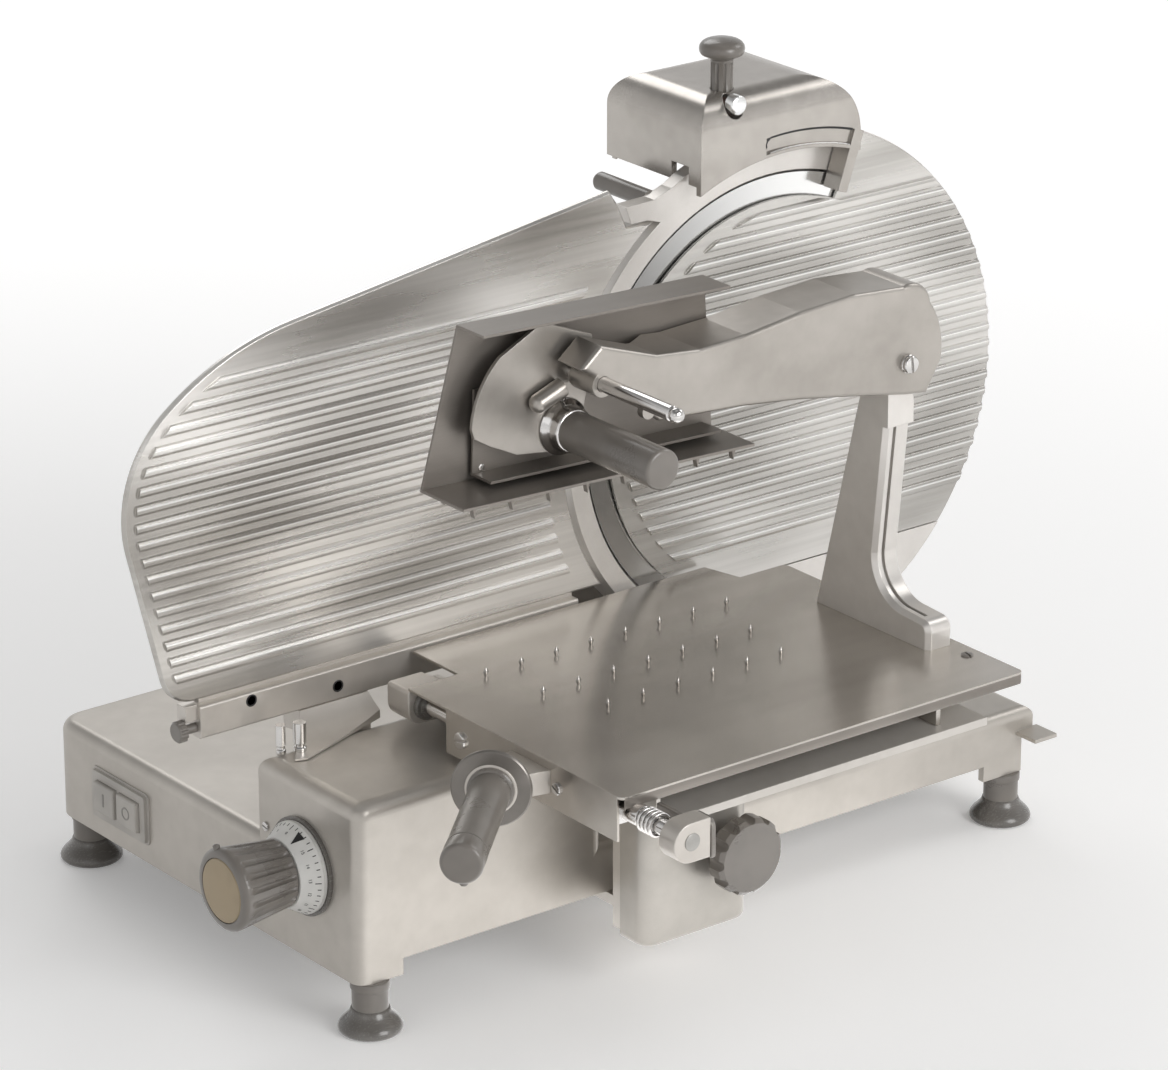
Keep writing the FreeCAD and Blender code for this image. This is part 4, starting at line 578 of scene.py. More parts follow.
class Maker:
    """Collects the faces of one piece and then makes the piece."""

    def __init__(self, name: str) -> None:
        """Starts an empty mesh."""
        self.name = name
        self.mesh = bmesh.new()

    def rings(self, rings: Sequence[Sequence[Vector]], loop: bool = False, caps: bool = True) -> "Maker":
        """Joins rings of points, all of one count, into a skin.

        Args:
            rings: the rings, in order.
            loop: whether the last ring joins the first.
            caps: whether the ends are closed.

        Returns:
            This maker.
        """
        made = [[self.mesh.verts.new(point) for point in ring] for ring in rings]
        pairs = list(zip(made, made[1:])) + ([(made[-1], made[0])] if loop else [])
        for one, two in pairs:
            for index in range(len(one)):
                after = (index + 1) % len(one)
                self.mesh.faces.new((one[index], one[after], two[after], two[index]))
        if caps and not loop:
            self.mesh.faces.new(list(reversed(made[0])))
            self.mesh.faces.new(made[-1])
        return self

    def turned(self, place: Vector, way: Union[Way, Vector], profile: Sequence[Tuple[float, float]],
               sides: int = 40, waves: Optional[Callable[[float, float], float]] = None) -> "Maker":
        """Turns a profile about a line.

        Args:
            place: where the line starts.
            way: where the line points.
            profile: radius and height in millimetres, from one end to the other.
            sides: how many sides stand for the circle.
            waves: an added radius for an angle in radians and a height, such as for flutes.

        Returns:
            This maker.
        """
        line = Vector(way.value) if isinstance(way, Way) else way.normalized()
        across = line.orthogonal().normalized()
        up = line.cross(across)
        rings = []
        for radius, height in profile:
            ring = []
            for side in range(sides):
                turn = math.tau * side / sides
                wide = max(radius + (waves(turn, height) if waves else 0.0), 0.01) * MM
                spoke = across * math.cos(turn) + up * math.sin(turn)
                ring.append(place + line * height * MM + spoke * wide)
            rings.append(ring)
        return self.rings(rings)

    def prism(self, outline: Sequence[Tuple[float, float]], low: float, high: float, plane: str) -> "Maker":
        """A flat outline in millimetres made solid between two heights.

        Args:
            outline: its points.
            low: where it starts.
            high: where it ends.
            plane: the outline's plane, "XY", "XZ" or "YZ".

        Returns:
            This maker.
        """
        order = {"XY": lambda u, v, w: at(u, v, w), "XZ": lambda u, v, w: at(u, w, v),
                 "YZ": lambda u, v, w: at(w, u, v)}[plane]
        return self.rings([[order(u, v, level) for u, v in outline] for level in (low, high)])

    def swept(self, line: Sequence[Vector], radius: float, sides: int = 10) -> "Maker":
        """A round wire along a line of points.

        Args:
            line: the points.
            radius: the wire's radius in millimetres.
            sides: how many sides stand for the circle.

        Returns:
            This maker.
        """
        rings = []
        across = (line[1] - line[0]).orthogonal().normalized()
        for index, point in enumerate(line):
            ahead = line[min(index + 1, len(line) - 1)] - line[max(index - 1, 0)]
            ahead.normalize()
            across = (across - ahead * across.dot(ahead)).normalized()
            up = ahead.cross(across)
            rings.append([point + (across * math.cos(math.tau * side / sides)
                                   + up * math.sin(math.tau * side / sides)) * radius * MM
                          for side in range(sides)])
        return self.rings(rings)

    def done(self, finish: Finish, slot: str, body: Body, *nodes: str, edge: float = 0.0,
             crease: float = 35.0) -> bpy.types.Object:
        """Makes the piece.

        Args:
            finish: its finish.
            slot: the material slot of the record; not used.
            body: the body that it rides on.
            nodes: the CAD nodes that it stands for.
            edge: how far its sharp edges are rounded, in millimetres.
            crease: the angle in degrees above which an edge stays sharp.

        Returns:
            The piece.
        """
        bmesh.ops.recalc_face_normals(self.mesh, faces=self.mesh.faces)
        data = bpy.data.meshes.new(self.name)
        self.mesh.to_mesh(data)
        self.mesh.free()
        for face in data.polygons:
            face.use_smooth = True
        data.set_sharp_from_angle(angle=math.radians(crease))
        data.materials.append(finish.material())
        piece = bpy.data.objects.new(self.name, data)
        bpy.context.scene.collection.objects.link(piece)
        if edge > 0:
            bevel = piece.modifiers.new("soft_edge", "BEVEL")
            bevel.width = edge * MM
            bevel.segments = 3
            bevel.limit_method = "ANGLE"
            bevel.angle_limit = math.radians(crease)
            bevel.harden_normals = True
        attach(piece, body.value)
        if nodes:
            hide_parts(*nodes)
        LOG.info("%s made", self.name)
        return piece


def dress(node: str, finish: Finish) -> None:
    """Gives a CAD node its finish.

    Args:
        node: the node's name.
        finish: its finish.
    """
    mesh = frame["nodes"][node].data
    mesh.materials.clear()
    mesh.materials.append(finish.material())


def dress_all() -> None:
    """Gives every CAD node the finish of its material slot, or one of its own."""
    for row in frame["record"]["subparts"]:
        dress(row["node"], NODE_FINISH.get(row["node"], SLOT_FINISH[row["material_slot"]]))


SCREW_TALL = 0.42
SCREW_SLOT = 0.17


def slotted_screw(name: str, place: Vector, way: Way, radius: float, body: Body, finish: Finish,
                  slot: str = "steel", lean: float = 0.6) -> None:
    """A low round screw head with a slot cut across it.

    Args:
        name: the piece's name.
        place: where its seat is.
        way: where its head points.
        radius: the head's radius in millimetres.
        body: the body that it rides on.
        finish: its finish.
        slot: its material slot.
        lean: the slot's turn in radians.
    """
    line = Vector(way.value)
    across = line.orthogonal().normalized()
    up = line.cross(across)
    tall, gap = radius * SCREW_TALL, radius * SCREW_SLOT
    along = across * math.cos(lean) + up * math.sin(lean)
    beside = line.cross(along)
    turns = [math.radians(10 + 160 * step / 16) for step in range(17)]
    head = Maker(name)
    for side in (-1, 1):
        head.rings([[place + (line * level + along * math.cos(turn) * radius * share
                              + beside * side * max(math.sin(turn) * radius * share, gap)) * MM
                     for turn in turns]
                    for level, share in ((-0.5, 1.0), (tall * 0.6, 1.0), (tall * 0.9, 0.9), (tall, 0.72))])
    head.turned(place, way, ((radius * 0.93, -0.5), (radius * 0.93, tall * 0.35)), 24)
    head.done(finish, slot, body)


# ------------------------------------------------------------------ sub-assemblies
# Sizes are in millimetres, and places are measured from the front left corner of the base.

@dataclass
class ThicknessDial:
    """The printed ring with its sloping collar, the fluted knob on it, and the mark beside it."""

    middle: Tuple[float, float] = (66.5, 110.7)
    bore: float = 7.4
    backing: float = 2.5
    rim: float = 34.0
    rim_depth: float = 4.5
    rim_round: float = 0.8
    collar: float = 25.5
    collar_depth: float = 20.0
    knob_back: float = 25.0
    knob_front: float = 30.5
    knob_end: float = 69.6
    flutes: int = 18
    flute_depth: float = 2.3
    cap: float = 23.5
    ticks: int = 40
    tick_half: float = 0.010
    tick_reach: Tuple[float, float] = (2.6, 4.2)
    numbers: int = 16
    digit: float = 3.4
    digit_at: float = 7.2
    wedge: float = 112.0
    print_lifts: Tuple[float, float, float] = (-0.2, 0.12, 0.45)
    mark: Tuple[float, float] = (111.9, 124.9)

    def build(self) -> None:
        """Makes the ring, the knob, the cap and the marks."""
        centre = at(0, *self.middle)
        rim, start, deep = self.rim, self.backing, self.collar_depth
        end = start + self.rim_depth
        Maker("dial_ring_printed").turned(centre, Way.LEFT, (
            (self.bore, start), (rim - 0.6, start), (rim, start + 0.6), (rim, end - 1),
            (rim - self.rim_round, end), (self.collar, deep), (self.bore, deep)), 96).done(
            WHITE, "white_plastic", Body.DIAL, "dial_ring")
        self.knob(centre)
        self.marks(centre)
        slotted_screw("dial_mark_screw", at(0, *self.mark), Way.LEFT, 3.6, Body.BASE, CHROME)

    def knob(self, centre: Vector) -> None:
        """The fluted knob, wider towards its end, with its cream cap and its grub screw.

        Args:
            centre: the middle of the dial on the base's wall.
        """
        low, high = self.collar_depth + 0.3, self.knob_end
        back, front, cap = self.knob_back, self.knob_front, self.cap

        def flute(turn: float, height: float) -> float:
            """How far the knob stands in or out at one angle and height."""
            ends = min(1.0, max(0.0, (height - low) / 3), max(0.0, (high - 7 - height) / 3))
            return -self.flute_depth * ends * max(0.0, math.cos(turn * self.flutes)) ** 0.6

        profile = [(self.bore, low), (back - 1.5, low), (back, low + 1.2)]
        profile += [(back + (front - back) * share, low + 2 + (high - 6 - low) * share)
                    for share in (step / 12 for step in range(13))]
        profile += [(front - 0.6, high - 2.2), (front - 2.4, high - 0.5), (front - 4.5, high),
                    (cap + 0.4, high), (cap + 0.3, high - 1.5), (self.bore, high - 1.5)]
        Maker("fluted_thickness_knob").turned(centre, Way.LEFT, profile, self.flutes * 12, flute).done(
            GRIP, "dark_plastic", Body.DIAL, "thickness_knob")
        Maker("knob_cap_disc").turned(centre, Way.LEFT, (
            (0.1, high - 1.5), (cap, high - 1.5), (cap, high - 0.4), (cap - 0.8, high + 0.3),
            (cap * 0.5, high + 0.9), (0.1, high + 1.1)), 64).done(
            CREAM, "cream_plastic", Body.DIAL, "knob_cap")
        top = at(-high + 3.2, self.middle[0] + 9, self.middle[1] + front - 3.4)
        Maker("knob_grub_screw").turned(top, Vector((0, 0.28, 0.96)), (
            (2.6, 0), (2.6, 3.4), (1.8, 4.2), (1.2, 4.2), (1.2, 2.8), (0.1, 2.8)), 18).done(
            GRIP, "dark_plastic", Body.DIAL)

    def marks(self, centre: Vector) -> None:
        """Fine lines and plain numbers on the collar, and one black wedge.

        Args:
            centre: the middle of the dial on the base's wall.
        """
        start = self.backing + self.rim_depth
        foot = self.rim - self.rim_round
        slope = (foot - self.collar) / (self.collar_depth - start)
        wedge = math.radians(self.wedge)

        def spot(turn: float, height: float, lift: float) -> Vector:
            """A point over the collar, at one angle and height."""
            wide = foot - slope * (height - start) + lift
            return centre + Vector((-height, math.cos(turn) * wide, math.sin(turn) * wide)) * MM

        lines = Maker("dial_lines")
        short, long = self.tick_reach
        foot_lift, line_lift, wedge_lift = self.print_lifts
        section = ((-1, line_lift), (1, line_lift), (1, foot_lift), (-1, foot_lift))
        for tick in range(self.ticks):
            turn = math.tau * tick / self.ticks
            reach = long if tick % 5 == 0 else short
            lines.rings([[spot(turn + side * self.tick_half, height, lift) for side, lift in section]
                         for height in (start + 0.4, start + reach)])
        corners = ((wedge - 0.13, start + 2.0), (wedge + 0.11, start + 2.0), (wedge + 0.01, start + 10.5))
        lines.rings([[spot(turn, height, lift) for turn, height in corners]
                     for lift in (foot_lift, wedge_lift)])
        lines.done(PLAIN_BLACK, "dark_plastic", Body.DIAL)
        for number in range(self.numbers):
            turn = wedge - math.tau * (number + 1) / (self.numbers + 1)
            outward = Vector((0, math.cos(turn), math.sin(turn)))
            upward = (Vector((1, 0, 0)) + outward * slope).normalized()
            normal = (outward - Vector((1, 0, 0)) * slope).normalized()
            turned = Matrix((upward.cross(normal), upward, normal)).transposed().to_4x4()
            self.numeral(number, Matrix.Translation(spot(turn, start + self.digit_at, line_lift)) @ turned)

    def numeral(self, number: int, place: Matrix) -> None:
        """One plain number, raised a little from the collar.

        Args:
            number: the number.
            place: its place and turn, in metres in the part's frame.
        """
        name = f"dial_number_{number}"
        text = bpy.data.curves.new(name, "FONT")
        text.body = str(number)
        text.size = self.digit * MM
        text.extrude = 0.06 * MM
        text.align_x = "CENTER"
        text.align_y = "CENTER"
        text.materials.append(PLAIN_BLACK.material())
        piece = bpy.data.objects.new(name, text)
        bpy.context.scene.collection.objects.link(piece)
        piece.matrix_world = place
        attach(piece, Body.DIAL.value)
        LOG.info("%s made", name)


@dataclass
class Feet:
    """The four soft bells that the machine stands on, each with a lock ring above it."""

    places: Dict[str, Tuple[float, float]] = field(default_factory=lambda: {
        "front_left": (16.0, 10.0), "front_right": (612.0, 10.0), "rear_left": (20.0, 377.0),
        "rear_right": (606.0, 377.0)})
    bell: Profile = (
        (0.1, 0.4), (15.0, 0.4), (18.5, 0.0), (21.8, 0.5), (23.3, 2.0), (23.6, 3.8), (22.9, 5.8),
        (21.2, 8.2), (18.6, 10.8), (16.2, 13.4), (14.6, 16.0), (13.9, 18.2), (12.9, 18.6), (0.1, 18.6))
    stem: float = 13.3
    ring_foot: float = 33.0

    def build(self) -> None:
        """Makes the bells with their flared rims, and then the lock rings."""
        stem = self.stem
        for name, (x, y) in self.places.items():
            Maker(f"bell_{name}").turned(at(x, y, 0), Way.UP, self.bell, 56).done(
                RUBBER, "black_rubber", Body.BASE, f"rubber_foot_{name}", crease=60)
        for name, (x, y) in self.places.items():
            Maker(f"lock_ring_{name}").turned(at(x, y, self.ring_foot), Way.UP, (
                (stem - 0.5, 0), (stem + 0.9, 0.4), (stem + 1.1, 1.2), (stem + 1.1, 5.4),
                (stem + 0.6, 6.6), (stem - 0.5, 6.8)), 40).done(GRIP, "dark_plastic", Body.BASE)


@dataclass
class Switch:
    """The gasket and the plain marks of the switch."""

    middle: Tuple[float, float] = (301.0, 75.0)
    gasket: Tuple[float, float] = (37.0, 20.5)
    gasket_round: float = 4.0
    gasket_levels: Tuple[float, float] = (-1.0, 0.3)
    apart: float = 15.0
    bar: Tuple[float, float] = (1.0, 5.0)
    bar_levels: Tuple[float, float] = (-7.25, -6.8)
    ring_level: float = -6.9

    def build(self) -> None:
        """A gasket round the frame, a raised bar on the start button and a ring on the stop button."""
        y, z = self.middle
        sides = ((-1, -1), (1, -1), (1, 1), (-1, 1))
        outer = rounded([(y + u * self.gasket[0], z + v * self.gasket[1], self.gasket_round)
                         for u, v in sides])
        Maker("switch_gasket").prism(outer, *self.gasket_levels, "YZ").done(
            GREY, "grey_plastic", Body.BASE, edge=0.4)
        bar = [(y + self.apart + u * self.bar[0], z + v * self.bar[1]) for u, v in sides]
        Maker("start_bar").prism(bar, *self.bar_levels, "YZ").done(FAINT, "dark_plastic", Body.START)
        Maker("stop_ring").turned(at(self.ring_level, y - self.apart, z), Way.LEFT, (
            (5.0, 0), (5.0, 0.35), (3.8, 0.35), (3.8, 0)), 32).done(FAINT, "dark_plastic", Body.STOP)


@dataclass
class GaugeTrim:
    """The small parts of the gauge plate's bar and of its column."""

    screws: Tuple[Tuple[float, float], ...] = ((7.0, 211.5), (82.0, 203.5))
    face: float = 137.0
    rods: Tuple[Tuple[float, float, float], ...] = ((13.0, 110.0, 3.6), (26.5, 106.0, 4.8))
    rod_foot: float = 177.4
    rod_tall: float = 23.0

    def build(self) -> None:
        """Two dark sunk screws in the bar, and the round rods at the column's left edge."""
        for index, (x, z) in enumerate(self.screws):
            Maker(f"bar_screw_{index}").turned(at(x, self.face + 0.1, z), Way.FRONT, (
                (4.6, 0), (4.6, 0.35), (3.6, 0.5), (3.3, 0.1), (2.0, 0.1), (0.1, 0.1)), 24).done(
                PLAIN_BLACK, "dark_plastic", Body.GAUGE)
        for index, (x, y, wide) in enumerate(self.rods):
            neck = wide * 0.8
            Maker(f"column_rod_{index}").turned(at(x, y, self.rod_foot), Way.UP, (
                (0.1, 0), (neck, 0), (wide, 1.2), (wide, 4), (neck, 5), (neck, 6.5), (wide, 7.5),
                (wide, self.rod_tall), (0.1, self.rod_tall)), 32).done(CHROME, "steel", Body.GAUGE)


@dataclass
class SharpenerTrim:
    """The turned knob, the button and the window's edge of the sharpener."""

    knob: Tuple[float, float, float] = (443.0, 150.0, 576.5)
    stem: float = 8.5
    head: float = 17.0
    flutes: int = 9
    flute_depth: float = 1.3
    button: Tuple[float, float, float] = (437.0, 122.0, 575.0)
    button_radius: float = 7.4
    button_depth: float = 8.0
    front: float = 124.0
    blade: Tuple[float, float] = (488.0, 332.6)
    window: Tuple[float, float] = (200.5, 213.0)
    window_reach: Tuple[float, float] = (-23.0, 62.0)
    window_round: float = 5.5
    gap_lift: float = 1.3
    gap_wire: float = 1.5
    lip_lift: float = 1.2
    lip_wire: float = 0.9

    def build(self) -> None:
        """Makes them all."""
        self.turned_knob()
        self.push_button()
        self.window_edge()

    def turned_knob(self) -> None:
        """A fluted stem under a smooth oval head with a shallow waist ring."""

        def flute(turn: float, height: float) -> float:
            """Flutes on the stem only."""
            return -self.flute_depth * max(0.0, math.cos(turn * self.flutes)) if 2 < height < 25 else 0.0

        stem, head = self.stem, self.head
        profile = [(0.1, 0), (stem, 0), (stem, 1.9), (stem - 0.2, 2.1), (stem - 0.2, 24.9), (stem, 25.1),
                   (stem, 27), (stem + 1.6, 28.2), (head - 4.6, 29.2), (head - 1.6, 30.6),
                   (head - 0.3, 32.6), (head, 35.0), (head - 0.5, 37.4), (head - 2.0, 39.4),
                   (head - 4.2, 40.8), (head - 8, 42.0), (0.1, 43.0)]
        Maker("sharpener_turned_knob").turned(at(*self.knob), Way.UP, profile, 108, flute).done(
            GRIP, "dark_plastic", Body.STONE, "sharpener_knob", crease=50)

    def push_button(self) -> None:
        """A bright round button with a softly domed face."""
        wide, deep = self.button_radius, self.button_depth
        Maker("bright_push_button").turned(at(*self.button), Way.BACK, (
            (0.1, -0.7), (wide - 2.9, -0.55), (wide - 1.0, -0.1), (wide - 0.3, 0.4), (wide, 1.2),
            (wide, deep), (0.1, deep)), 48).done(
            BUTTON, "white_plastic", Body.BUTTON, "sharpener_button", crease=50)

    def window_edge(self) -> None:
        """The dark line of painted shade round the window's upper edge, and the bright lip along its foot.
        """
        x, z = self.blade
        low, high = self.window
        near, far = self.window_reach
        bend = self.window_round

        def arc(edge: float, out: float, lift: float, ends: Sequence[float]) -> List[Vector]:
            """A run of points about the blade's middle.

            Args:
                edge: the radius of the window's edge.
                out: how far outside it the points lie.
                lift: how far they stand behind the sharpener's front.
                ends: how far right of the blade's middle the run starts and ends.

            Returns:
                The points.
            """
            first, last = (math.acos(end / edge) for end in ends)
            turns = [first + (last - first) * step / 24 for step in range(25)]
            return [at(x + math.cos(turn) * (edge + out), self.front + lift,
                       z + math.sin(turn) * (edge + out)) for turn in turns]

        top = z + math.sqrt(high ** 2 - near ** 2) - bend
        turns = [math.radians(200 - 30 * step) for step in range(4)]
        gap = [at(x + near + 5 + bend * math.cos(turn), self.front + self.gap_lift,
                  top + bend * math.sin(turn)) for turn in turns]
        gap += arc(high, 0.0, self.gap_lift, (near + 4, far - 2))
        # painted shadow: a black wire laid round the window's upper edge, where shade falls
        Maker("window_shadow_line").swept(gap, self.gap_wire, 8).done(PLAIN_BLACK, "dark_plastic", Body.BASE)
        lip = arc(low, 0.2, self.lip_lift, (near + 4, far - 4))
        Maker("window_lip").swept(lip, self.lip_wire, 8).done(CHROME, "steel", Body.BASE)


@dataclass
class RodGear:
    """The table's rod, its two lugs, the plate beside the front one, its spring and its sleeve."""

    rod: Tuple[float, float] = (117.0, 200.0)
    radius: float = 6.0
    length: float = 325.5
    wall: float = 133.0
    front: float = -224.0
    front_depth: float = 17.0
    front_round: float = 14.6
    front_levels: Tuple[float, float] = (184.8, 214.0)
    plate_levels: Tuple[float, float, float] = (183.5, 204.0, 212.5)
    plate_steps: Tuple[float, float, float] = (-165.0, -199.0, -207.0)
    plate_depth: float = 3.8
    rear: float = 78.0
    rear_depth: float = 26.0
    spring: Tuple[float, float] = (-190.0, -173.5)
    turns: int = 4
    coil: float = 8.2
    coil_points: int = 26
    wire: float = 1.35
    tube_end: float = 34.0
    tube_wall: float = 1.8
    bushes: Tuple[float, float] = (-157.0, -2.0)
    bush: Tuple[float, float] = (11.0, 30.0)
    bush_levels: Tuple[float, float] = (192.0, 213.2)

    def build(self) -> None:
        """Makes each part."""
        self.front_lug()
        self.rear_lug()
        self.bright_rod()
        self.coil_spring()
        self.sleeve()

    def front_lug(self) -> None:
        """The round lug that holds the rod's front end, its dull plug and the plate beside it."""
        x, z = self.rod
        low, high = self.front_levels
        near = self.front - 1
        turns = [math.pi / 2 + math.pi * step / 16 for step in range(1, 16)]
        outline = [(self.wall, high), (x, high)]
        outline += [(x - 1 + self.front_round * math.cos(turn), z - 0.6 + self.front_round * math.sin(turn))
                    for turn in turns]
        outline += [(x, low), (self.wall, low)]
        Maker("front_lug").prism(outline, self.front, self.front + self.front_depth, "XZ").done(
            CAST, "cast_aluminium", Body.CARRIAGE, "rod_block_front", edge=0.8)
        Maker("front_lug_plug").turned(at(x, self.front + 0.3, z), Way.FRONT, (
            (0.1, 0), (6.4, 0), (6.4, 0.7), (5.9, 1.0), (0.1, 1.0)), 36).done(
            PLUG, "cast_aluminium", Body.CARRIAGE)
        low, shelf, high = self.plate_levels
        far, step, rise = self.plate_steps
        plate = rounded(((near, low, 2), (far, low, 0), (far, shelf, 0), (step, shelf, 3), (rise, high, 3),
                         (near, high, 7)))
        Maker("front_lug_plate").prism(plate, self.wall, self.wall + self.plate_depth, "YZ").done(
            SHEET, "stainless_sheet", Body.CARRIAGE, edge=0.8)

    def rear_lug(self) -> None:
        """The lug that holds the rod's rear end, with its foot on the carriage's side plate."""
        rear, end = self.rear, self.rear + self.rear_depth
        body = rounded(((132.5, 213, 1.5), (101.5, 213, 3), (101.5, 186, 12), (132.5, 186, 2)))
        foot = ((132.5, 189), (137.0, 189), (137.0, 211), (132.5, 211))
        Maker("rear_lug").prism(body, rear, end, "XZ").prism(foot, rear + 2, end - 6, "XZ").done(
            CAST, "cast_aluminium", Body.CARRIAGE, "rod_block_rear", edge=1.0)

    def bright_rod(self) -> None:
        """The turned rod, stepped down in the front lug, and the dark collar before the rear lug."""
        x, z = self.rod
        wide, length = self.radius, self.length
        Maker("turned_rod").turned(at(x, self.front + 0.5, z), Way.BACK, (
            (0.1, 0), (wide - 0.6, 0), (wide - 0.6, 14.5), (wide, 15.0), (wide, length), (0.1, length)),
            40).done(CHROME, "steel", Body.CARRIAGE, "table_rod")
        bore = wide + 0.1
        Maker("rear_collar").turned(at(x, self.rear, z), Way.FRONT, (
            (bore, 0), (11.2, 0), (11.2, 2.6), (10.2, 3.6), (7.8, 3.6), (7.6, 5.4), (bore, 5.4)), 40).done(
            RUBBER, "black_rubber", Body.CARRIAGE)

    def coil_spring(self) -> None:
        """A round wire wound on the rod, given a mesh of its own."""
        x, z = self.rod
        start, end = self.spring
        count = self.coil_points * self.turns
        line = []
        for step in range(count + 1):
            turn = math.tau * step / self.coil_points
            line.append(at(x + self.coil * math.cos(turn), start + (end - start) * step / count,
                           z + self.coil * math.sin(turn)))
        spring = Maker("wound_spring").swept(line, self.wire, 10).done(
            CHROME, "steel", Body.CARRIAGE, "rod_spring", crease=80)
        anchor = at(x, self.front + self.front_depth, z)
        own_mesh(spring)

    def sleeve(self) -> None:
        """The tube that slides on the rod, and its two bushes under the table."""
        x, z = self.rod
        start = self.spring[1] + 1.5
        long = self.tube_end - start
        bore, wide = self.radius + 0.1, self.radius + self.tube_wall
        tube = Maker("sliding_sleeve").turned(at(x, start, z), Way.BACK, (
            (bore, 0), (wide - 0.5, 0), (wide, 0.5), (wide, long - 0.5), (wide - 0.5, long),
            (bore, long)), 32)
        half, deep = self.bush
        foot, top = self.bush_levels
        section = rounded(((x - half, foot, 3), (x + half, foot, 3), (x + half, top, 0), (x - half, top, 0)))
        for near in self.bushes:
            tube.prism(section, near, near + deep, "XZ")
        tube.done(CHROME, "steel", Body.TABLE, "table_sleeve")


@dataclass
class TableTrim:
    """The table's spikes, the folded hem along its front, and its small screws."""

    top: float = 215.0
    rows: Tuple[Tuple[float, int, float], ...] = ((65.0, 8, 160.7), (12.0, 7, 171.6), (-34.0, 6, 193.9))
    pitch: float = 31.7
    tall: float = 7.0
    wide: float = 2.5
    lens: Profile = ((-1, 0), (-0.5, -0.8), (0, -1), (0.5, -0.8), (1, 0), (0.5, 0.8), (0, 1), (-0.5, 0.8))
    taper: Tuple[Tuple[float, float, float], ...] = (
        (-0.05, 0.55, 0.5), (0.12, 0.62, 0.5), (0.42, 1.0, 0.62), (0.62, 0.78, 0.5), (0.84, 0.34, 0.24),
        (1.0, 0.03, 0.03))
    hem: Tuple[float, float] = (106.0, 467.0)
    front: float = -165.0
    skirt: float = 103.0
    rear_screw: Tuple[float, float] = (17.4, 196.0)
    front_screw: Tuple[float, float] = (-93.3, 197.5)
    table_screw: Tuple[float, float] = (457.9, -117.0)

    def build(self) -> None:
        """Makes them all."""
        self.spikes()
        self.folded_hem()
        slotted_screw("skirt_screw_rear", at(self.skirt, *self.rear_screw), Way.LEFT, 6.2, Body.TABLE,
                      CHROME, lean=1.1)
        slotted_screw("skirt_screw_front", at(self.skirt, *self.front_screw), Way.LEFT, 4.6, Body.TABLE,
                      CHROME, lean=0.3)
        slotted_screw("table_screw", at(*self.table_screw, self.top - 0.6), Way.UP, 4.6, Body.TABLE,
                      GRIP, "dark_plastic")

    def spikes(self) -> None:
        """Lens-shaped points, each with two keen edges and a small foot."""
        points = Maker("lens_spikes")
        for y, count, first in self.rows:
            for x in (first + self.pitch * index for index in range(count)):
                points.rings([[at(x + u * self.wide * width, y + v * self.wide * thick,
                                  self.top + self.tall * share) for u, v in self.lens]
                              for share, width, thick in self.taper])
        points.done(SPIKE, "steel", Body.TABLE, "table_spikes", crease=60)

    def folded_hem(self) -> None:
        """The hem that is folded down and back under the table's front edge."""
        y, top = self.front, self.top
        section = [(y - 0.15, top - 1.6), (y - 0.3, top - 3.2), (y - 0.2, top - 7.4), (y + 0.5, top - 9.0),
                   (y + 2.2, top - 9.8), (y + 9.0, top - 9.8), (y + 9.0, top - 8.4), (y + 2.2, top - 8.4),
                   (y + 1.2, top - 7.6), (y + 1.2, top - 1.6)]
        Maker("front_hem").prism(section, *self.hem, "YZ").done(
            HEAD_SHEET, "stainless_sheet", Body.TABLE, edge=0.2)


